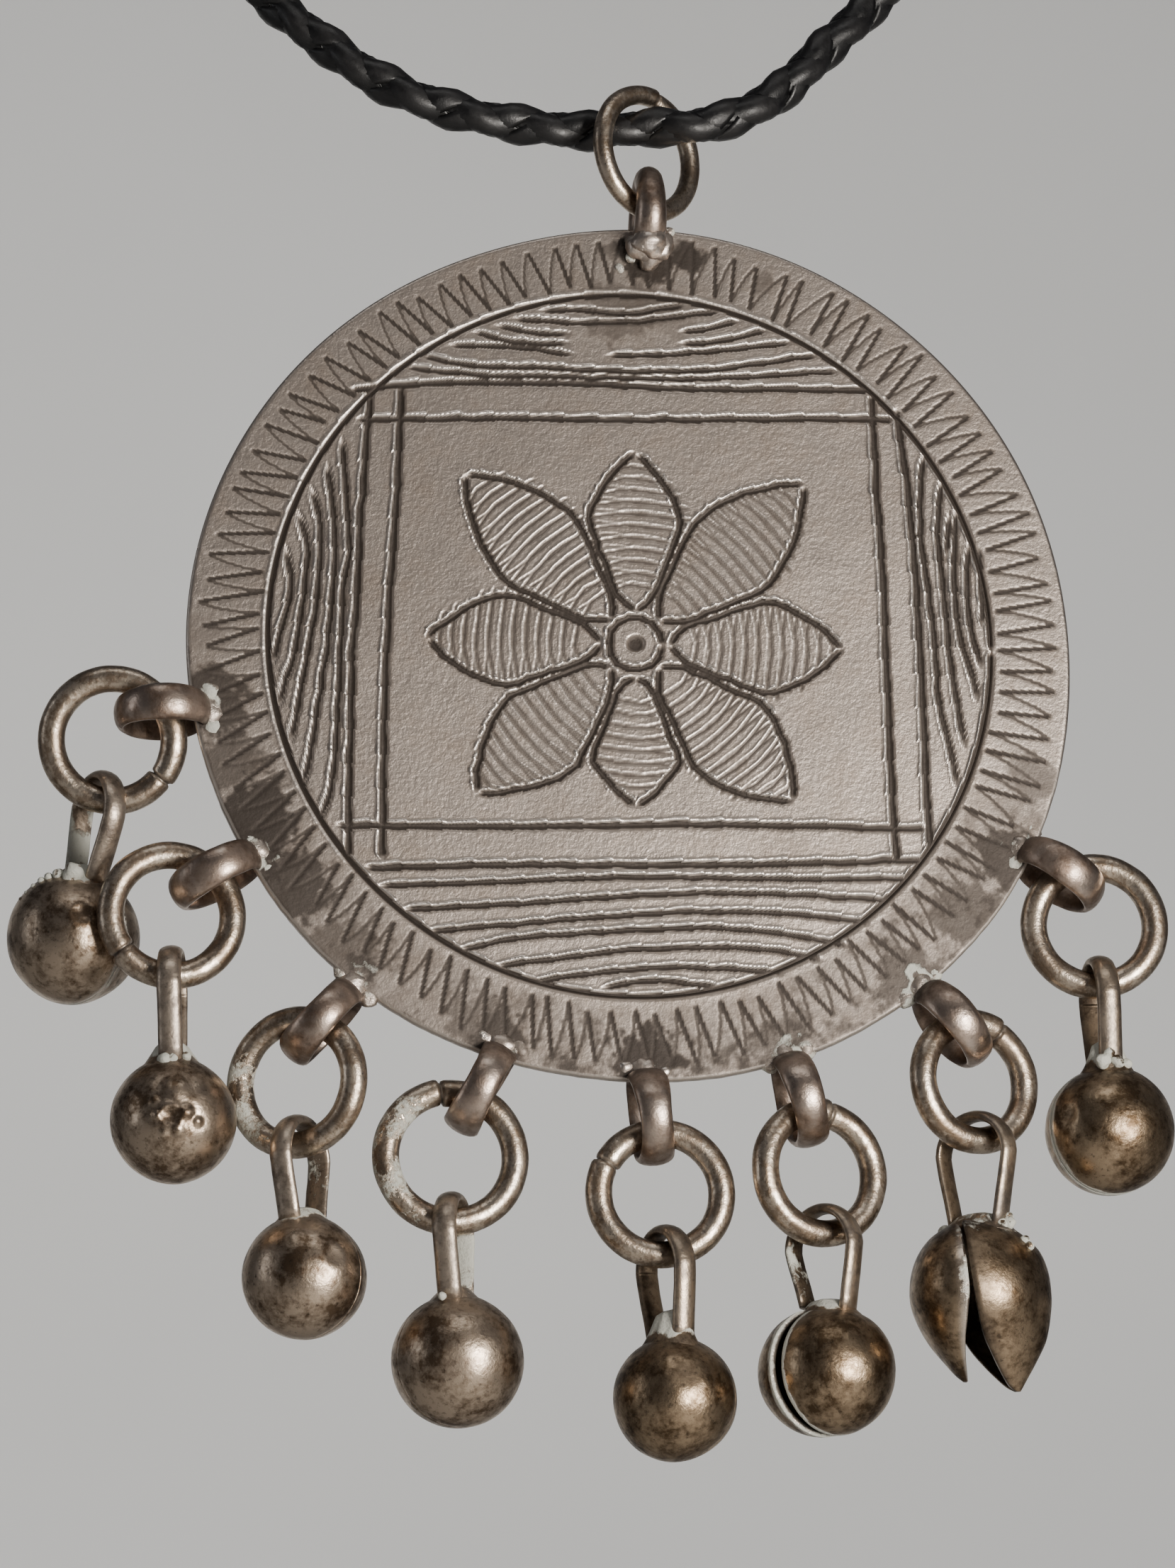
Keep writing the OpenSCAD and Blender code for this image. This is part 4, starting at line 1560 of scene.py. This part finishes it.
@dataclass
class Bell:
    """A ball bell of two half shells with a strap to its jump ring; one bell is an open pod of two petals."""

    number: int
    drop: "Drop"
    wall: float = 0.5
    strap_r: float = 2.775
    strap_deep: float = 0.525
    strap_wide: float = 0.9
    hang: float = 1.1
    strap_inner: float = 0.5
    foot_share: float = 0.86
    mound_r: tuple[float, float] = (1.1, 2.5)
    outer_rows: int = 52
    inner_rows: int = 14

    RIGHT_PETAL = (
        (5.05, -1.0, -0.1, 0.3), (4.75, -1.45, 1.7, 1.9), (4.1, -1.55, 3.1, 3.2), (2.8, -1.55, 4.4, 4.3),
        (1.2, -1.5, 5.05, 4.9), (-0.6, -1.25, 5.2, 5.0), (-2.2, -0.9, 5.05, 4.5), (-3.7, -0.4, 4.7, 3.5),
        (-5.0, 0.35, 4.1, 2.5), (-6.2, 1.15, 3.45, 1.5), (-7.0, 1.8, 3.0, 0.7), (-7.4, 2.35, 2.75, 0.2),
    )
    LEFT_PETAL = (
        (4.85, -1.75, -1.95, 0.3), (4.5, -1.75, -2.6, 1.7), (3.7, -1.75, -3.7, 3.1), (2.4, -1.75, -4.6, 4.2),
        (0.9, -1.7, -5.05, 4.8), (-0.8, -1.6, -5.1, 4.8), (-2.4, -1.65, -4.6, 4.2), (-3.9, -1.7, -3.8, 3.2),
        (-5.2, -1.55, -2.8, 2.1), (-6.2, -1.3, -2.0, 1.0), (-6.7, -1.15, -1.45, 0.3),
    )

    def pose(self) -> tuple[np.ndarray, np.ndarray, float]:
        """Middle of the ball, the matrix that turns local Z towards its jump ring, and the strap's height.

        Returns:
            The middle, the matrix and the height.
        """
        reach = np.array(self.drop.ring) - self.drop.ball
        long = float(np.linalg.norm(reach))
        tilt = math.degrees(math.asin(-reach[1] / long))
        lean = math.degrees(math.atan2(reach[0], reach[2]))
        return np.array(self.drop.ball), turned(x=tilt, y=lean), long - self.drop.ring_r - self.hang

    def shell(self, skin: Skin, axis: np.ndarray, shift: np.ndarray) -> None:
        """Half a ball: a profile from the pole out to the seam and back inside, revolved about its axis.

        Args:
            skin: The mesh that takes it.
            axis: Local direction of the half's pole, level.
            shift: How far the half has moved, in local millimetres.
        """
        ball, drop = self.drop.ball_r, self.drop
        last = math.acos(drop.seam_gap / 2 / ball)
        outer, inner = np.linspace(0.03, last, self.outer_rows), np.linspace(last, 0.06, self.inner_rows)
        polar = np.concatenate([outer, inner])[:, None]
        inside = (np.arange(len(polar)) >= self.outer_rows)[:, None]
        around = spokes(turns(76), UP, np.cross(UP, axis))
        ray = np.cos(polar)[..., None] * axis + np.sin(polar)[..., None] * around
        beaten = 0.09 * LUMPS.rough(ray * ball + 7 * self.number, 3.4)
        dark_in_dents = np.zeros_like(beaten)
        for *spot, width, depth in drop.dents:
            gap = np.linalg.norm(ray - unit(np.array(spot)), axis=-1)
            beaten += depth * (bump_at(gap, width, width * 0.45) * 0.45 - bump_at(gap, 0, width * 0.8))
            # Darker inside each dent that is pushed in
            dark_in_dents = np.maximum(dark_in_dents, 0.55 * float(depth > 0) * bump_at(gap, 0, width * 0.6))
        grid = np.where(inside, ball - self.wall, ball + beaten)[..., None] * ray + shift
        edge = 0.12 + 0.12 * LUMPS.rough(ray * ball + 90, 1.6)
        lip = drop.lip * smooth_step(polar, last - edge, last - 0.4 * edge) * ~inside
        stain = smooth_step(ray[..., 2] + 0.3 * LUMPS.rough(grid + 20, 2.0), 0.45, 0.95)
        dark = np.where(inside, 0.85, np.maximum(0.6 * stain * (1 - lip), dark_in_dents))
        place, pose, _ = self.pose()
        skin.add_tube(place + grid @ pose.T, stacked(dark, 0.7 * lip, lip))

    def petal(self, skin: Skin, outline: tuple[tuple[float, float, float, float], ...]) -> None:
        """One petal of the open pod, built from level half ovals that open towards the slit.

        At each height the half oval starts and ends at the slit's edge, as far in front as behind, and its
        middle reaches the petal's outline: x = edge + (outline - edge) cos w and y = depth sin w, with w from
        -90 to 90 degrees.

        Args:
            skin: The mesh that takes it.
            outline: Height, slit edge, outline and depth of the half oval at the edge, from the top down.
        """
        level, edge, side, deep = smooth_path(np.array(outline), 8).T[..., None]
        turn = np.linspace(-math.pi / 2, math.pi / 2, 46)
        shells = []
        for wall in (0.0, self.wall):
            reach = np.sign(side - edge) * np.maximum(np.abs(side - edge) - wall, 0.03)
            y = np.maximum(deep - wall, 0.03) * np.sin(turn)
            shells.append(stacked(edge + reach * np.cos(turn), y, level))
        outer, inner = shells
        beaten = 0.10 * LUMPS.rough(outer + 31, 3.0) * smooth_step(side - edge, 0, 2.5)
        outer = outer + beaten[..., None] * unit(outer)
        near = smooth_step(np.abs(turn), 1.25, 1.55)
        rough = LUMPS.rough(outer + 50, 2.2)
        dark = np.maximum(0.75 * smooth_step(level, 2.6, 4.6), 0.4 * smooth_step(rough, 0.0, 0.6))
        # Painted highlight, pale and bright, along the left petal's edges at the slit; painted shade along
        # the right petal's edges there
        lit = near * float(outline is self.LEFT_PETAL)
        chalk = 0.8 * bump_at(level, 4.4, 0.8) * smooth_step(-rough, -0.1, 0.3)
        pale = lit * bump_at(level, 0.3, 2.2) + chalk
        dark = np.maximum(dark * (1 - lit), 0.7 * (near - lit))
        place, pose, _ = self.pose()
        wear_and_light = stacked(dark, 0.6 * pale, 0.5 * lit)
        skin.add_wall(place + outer @ pose.T, place + inner @ pose.T, wear_and_light, 0.45)

    def strap(self, skin: Skin) -> None:
        """Bent strap: half a circle over the jump ring's wire and two legs that close in on the ball.

        Args:
            skin: The mesh that takes it.
        """
        place, pose, high = self.pose()
        drop, foot = self.drop, self.foot_share * self.drop.ball_r
        bend, turn = np.linspace(0, math.pi, 40), turns(18)
        spread, climb = np.array([1.75, 2.15, 2.55]), np.array([0.0, 0.4, 0.75])
        left, right = (low + climb * (high - low) for low in (foot + drop.short, foot))
        x = np.concatenate([-spread, -self.strap_r * np.cos(bend), spread[::-1]])
        z = np.concatenate([left, high + self.strap_r * np.sin(bend), right[::-1]])
        x, z = smooth_path(stacked(x, z), 2).T[..., None]
        spin = math.radians(drop.strap_turn)
        level = np.array([math.cos(spin), math.sin(spin), 0.0])
        track = x * level + z * UP
        across = np.cross(level, UP)
        out = np.cross(unit(np.gradient(track, axis=0)), -across)
        rise, side = self.strap_deep * domed(turn, self.strap_inner), self.strap_wide * np.sin(turn)
        grid = hammered(swept(track, out, across, rise, side), 1.6, 0.06)
        rough = LUMPS.rough(grid + 5, 1.2)
        leg = smooth_step(drop.pale_leg * x, 0.9, 2.2) * smooth_step(high + 1.5 - z, 0, 1.5)
        pale = np.abs(drop.pale_leg) * leg * smooth_step(rough, -0.5, 0.1)
        under = smooth_step(-np.cos(turn), 0.2, 0.8)
        dark = np.maximum(0.6 * under, 0.15 + 0.4 * smooth_step(rough, 0.0, 0.5))
        skin.add_tube(place + grid @ pose.T, stacked(dark, pale, 0.15 * (1 - under)))

    def solder(self, skin: Skin) -> None:
        """Solder between the ball and the strap's feet: a low mound, or a cone that climbs the strap.

        An oval patch of the ball's surface, raised by a profile that is steep in its middle: height above the
        ball = thickness times (1 - share of the radius) to a power. A cone leans to the strap's front leg.

        Args:
            skin: The mesh that takes it.
        """
        place, pose, _ = self.pose()
        ball, drop = self.drop.ball_r, self.drop
        share, turn = np.linspace(1, 0.06, 22)[:, None], turns(48)
        spin = math.radians(drop.strap_turn)
        oval = 1 + (0.24 - 0.18 * drop.cone) * np.cos(2 * (turn - spin))
        ragged = 1 + 0.16 * LUMPS.at(stacked(2 * np.cos(turn), 2 * np.sin(turn), self.number), 1.0)
        near, far = self.mound_r
        radius = (near + (far - near) * share) * np.minimum(1, share / 0.12 + 0.1) * oval * ragged
        x, y = radius * np.cos(turn), radius * np.sin(turn)
        rise = (0.75 + 1.5 * drop.cone) * (1 - share) ** (1.2 + 0.6 * drop.cone)
        z = np.sqrt(np.maximum(ball**2 - x**2 - y**2, 0)) - 0.12 + rise
        lean = 0.75 * drop.cone * (1 if math.sin(spin) < 0 else -1) * (1 - share)
        grid = stacked(x + lean * math.cos(spin), y + lean * math.sin(spin), z)
        grid[..., 2] += 0.12 * (1 - share) * LUMPS.rough(grid + 3 * self.number, 0.9)
        rough = LUMPS.rough(grid + 11, 0.9)
        chalk = drop.crust * smooth_step(0.9 - share + 0.55 * LUMPS.rough(grid + 60, 1.2), 0.0, 0.5)
        dark = (0.35 + 0.4 * smooth_step(rough, 0.0, 0.5)) * (1 - chalk)
        wear_and_light = stacked(dark, chalk, 0.2 * (1 - drop.crust))
        base = stacked(0.3 * x[:1], 0.3 * y[:1], z[:1] - 1.2)
        skin.add_tube(place + np.concatenate([base, grid]) @ pose.T, np.concatenate([wear_and_light[:1], wear_and_light]))
        for *spot, size in drop.crumbs:
            add_blob(skin, place + pose @ np.array(spot), np.full(3, size), 1.0)

    def build(self, bronze: bpy.types.Material) -> None:
        """Makes the bell.

        Args:
            bronze: The finish.
        """
        skin = Skin()
        if self.number == POD:
            self.petal(skin, self.RIGHT_PETAL)
            self.petal(skin, self.LEFT_PETAL)
        else:
            spin = math.radians(self.drop.seam)
            axis = np.array([-math.sin(spin), math.cos(spin), 0.0])
            self.shell(skin, axis, np.array(self.drop.slip))
            self.shell(skin, -axis, np.zeros(3))
        self.strap(skin)
        self.solder(skin)
        name = "open_pod_bell" if self.number == POD else f"ball_bell_{self.number}"
        skin.make(name, bronze, Body.PENDANT, Slot.BELL, f"bell_{self.number}")


@dataclass(frozen=True)
class Drop:
    """One drop. Places are from the disc's middle in millimetres, angles in degrees.

    at, to and out place its loop on the rim; ring to tip its jump ring, with the butted ends at split; ball
    and ball_r the bell. strap_turn, seam and seam_gap turn the strap and open the seam. slip moves the bell's
    rear half. crust and rim_crust tell the corrosion at both ends; cone, grey, pale_leg, short and lip the
    solder's height, a grey ring side, a pale strap leg, a leg that has come off and a bright edge at the
    seam. dents holds direction, width and depth; crumbs holds the place and size of specks of white
    corrosion, from the ball's middle.
    """

    at: float
    to: float
    out: float
    ring: Place
    ring_r: float
    turn: float
    tip: float
    split: float
    ball: Place
    ball_r: float
    strap_turn: float
    seam: float
    seam_gap: float
    crust: float = 0.8
    rim_crust: float = 0.5
    cone: float = 0.0
    grey: float = 0.0
    pale_leg: float = 0.0
    short: float = 0.0
    lip: float = 0.0
    slip: Place = (0.0, 0.0, 0.0)
    dents: tuple[tuple[float, float, float, float, float], ...] = ()
    crumbs: tuple[tuple[float, float, float, float], ...] = ()

    def loop_at(self, disc: Disc) -> np.ndarray:
        """Middle of the loop on the rim."""
        return disc.on_rim(self.at) + self.out * way(self.to)


DROPS = (
    Drop(
        189.7, 183, 2.3, (-38.1, 1.2, -7.4), 4.5, -5, 14, -38, (-40.6, 5.1, -21.5), 4.9, -64, -40, 0.14,
        crust=0.95, rim_crust=0.95, pale_leg=-0.9, lip=0.5, dents=((0.05, -0.85, 0.42, 0.16, 0.22),),
        crumbs=(
            (-0.9, -1.6, 4.6, 0.85), (-1.9, -1.3, 4.4, 0.5), (-2.6, -1.1, 4.1, 0.32), (-3.1, -1.0, 3.7, 0.26),
            (-3.6, -1.0, 3.2, 0.22), (-4.0, -1.0, 2.65, 0.2), (-4.3, -0.9, 2.1, 0.17),
        ),
    ),
    Drop(
        210.3, 209, 2.6, (-33.6, 0, -20.8), 4.5, 6, 0, 218, (-33.2, 0, -36), 4.6, 83, 10, 0.06,
        crust=0.8, rim_crust=0.95, cone=0.35,
        dents=(
            (-0.08, -0.99, -0.12, 0.17, 0.30), (0.0, -0.9, 0.35, 0.25, -0.12),
            (0.18, -0.97, -0.05, 0.13, -0.16), (-0.3, -0.94, -0.1, 0.10, -0.14),
            (0.05, -0.95, -0.36, 0.13, -0.14), (-0.2, -0.93, -0.4, 0.09, -0.10),
            (0.36, -0.92, -0.2, 0.10, -0.12), (-0.33, -0.92, 0.12, 0.10, -0.10),
        ),
        crumbs=((-0.1, -2.0, 4.1, 0.5), (-0.7, -2.1, 4.1, 0.55), (0.9, -1.9, 4.3, 0.4)),
    ),
    Drop(
        231.7, 229, 3.7, (-24.3, 0.1, -33), 4.6, -30, 2, 60, (-23.6, 0, -47.3), 4.5, 57, 150, 0.06,
        crust=0.65, rim_crust=0.4, grey=0.6, pale_leg=0.6, dents=((0.42, -0.85, 0.2, 0.2, 0.12),),
    ),
    Drop(
        252.0, 243, 2.3, (-13.1, 0, -38.3), 4.75, 4, 0, 100, (-12.5, 0, -53.2), 4.8, 72, 20, 0.06,
        crust=0.25, rim_crust=0.3, grey=0.6, pale_leg=0.8, dents=((-0.1, -0.97, -0.2, 0.4, 0.05),),
        crumbs=((-1.2, -2.6, 4.3, 0.42),),
    ),
    Drop(
        271.6, 278, 2.3, (2.2, 0, -40.7), 4.5, 0, 0, 152, (3.2, 0, -55.7), 4.5, -67, 160, 0.06,
        crust=0.85, rim_crust=0.25, cone=1.0, dents=((0.1, -0.99, 0.3, 0.3, 0.06),),
    ),
    Drop(
        290.2, 287, 2.9, (13.9, 0.1, -38.9), 4.5, 21, -1, 80, (14.6, 0, -53.5), 4.7, -47, 30, 0.3,
        crust=0.85, rim_crust=0.6, pale_leg=-0.7, short=0.9, lip=1.0, slip=(-0.6, 0.15, 0.0),
    ),
    Drop(
        310.3, 310, 3.5, (25.4, 0.1, -31.9), 4.4, 23, -1, 62, (25.6, 0, -47.4), 5.1, -43, 90, 0.0,
        crust=0.45, rim_crust=0.75, pale_leg=0.4,
        crumbs=(
            (1.5, -1.6, 4.6, 0.5), (-2.2, 1.0, 4.4, 0.5), (2.0, -1.5, 4.7, 0.55), (2.0, -1.3, 5.2, 0.42),
            (3.0, -2.2, 3.3, 0.34), (3.3, -2.5, 2.8, 0.3),
        ),
    ),
    Drop(
        333.4, 326, 2.8, (34.6, 0, -20), 4.5, -3, 0, 120, (35.4, 0, -35.4), 4.75, -87, 15, 0.16,
        crust=0.95, rim_crust=0.7, cone=0.9, lip=0.9, dents=((-0.75, -0.65, 0.15, 0.18, 0.14),),
        crumbs=((-0.5, -2.4, 4.7, 0.6), (0.5, -2.4, 4.7, 0.6), (0.0, -2.2, 5.3, 0.5), (1.3, -1.9, 4.6, 0.4)),
    ),
)
POD = 7


def main() -> None:
    """Builds every part of the scene in order."""
    logging.basicConfig(level=logging.INFO, format="%(message)s")
    studio = Studio()
    studio.camera()
    plate = TarnishedSilver(
        "plate_silver", brown=(0.42, 0.35, 0.295), brown_share=0.45, specks=0.12, smooth=0.36, rough=0.44,
        grain=0.7,
    ).build()
    wire = TarnishedSilver(
        "wire_silver", light=(0.64, 0.535, 0.42), brown=(0.27, 0.195, 0.13), brown_share=0.58, specks=0.6,
        patch_per_metre=560.0, soft=0.05, smooth=0.27, rough=0.42, uneven=0.6,
    ).build()
    strap = TarnishedSilver(
        "strap_silver", light=(0.52, 0.415, 0.345), brown=(0.21, 0.148, 0.11), brown_share=0.55, smooth=0.26
    ).build()
    bronze = TarnishedSilver(
        "bell_silver", light=(0.55, 0.44, 0.335), brown=(0.14, 0.096, 0.062), brown_share=0.5, specks=0.55,
        patch_per_metre=330.0, soft=0.07, smooth=0.27, rough=0.42,
    ).build()
    brown = TarnishedSilver(
        "bell_bronze", light=(0.44, 0.33, 0.22), brown=(0.10, 0.066, 0.038), brown_share=0.55, specks=0.6,
        patch_per_metre=330.0, soft=0.08, smooth=0.27, rough=0.42, uneven=0.4,
    ).build()
    Cord().build(Leather().build(), TarnishedSilver("clasp_metal", brown_share=0.25).build())
    disc = Disc()
    disc.build(plate)
    loops = RimLoops(disc)
    loops.loops(strap)
    loops.solder(plate)
    Rings().build(wire)
    for number, drop in enumerate(DROPS, 1):
        Bell(number, drop).build(bronze if number < 5 else brown)
    studio.paper()
    studio.lights()


if __name__ == "__main__":
    main()
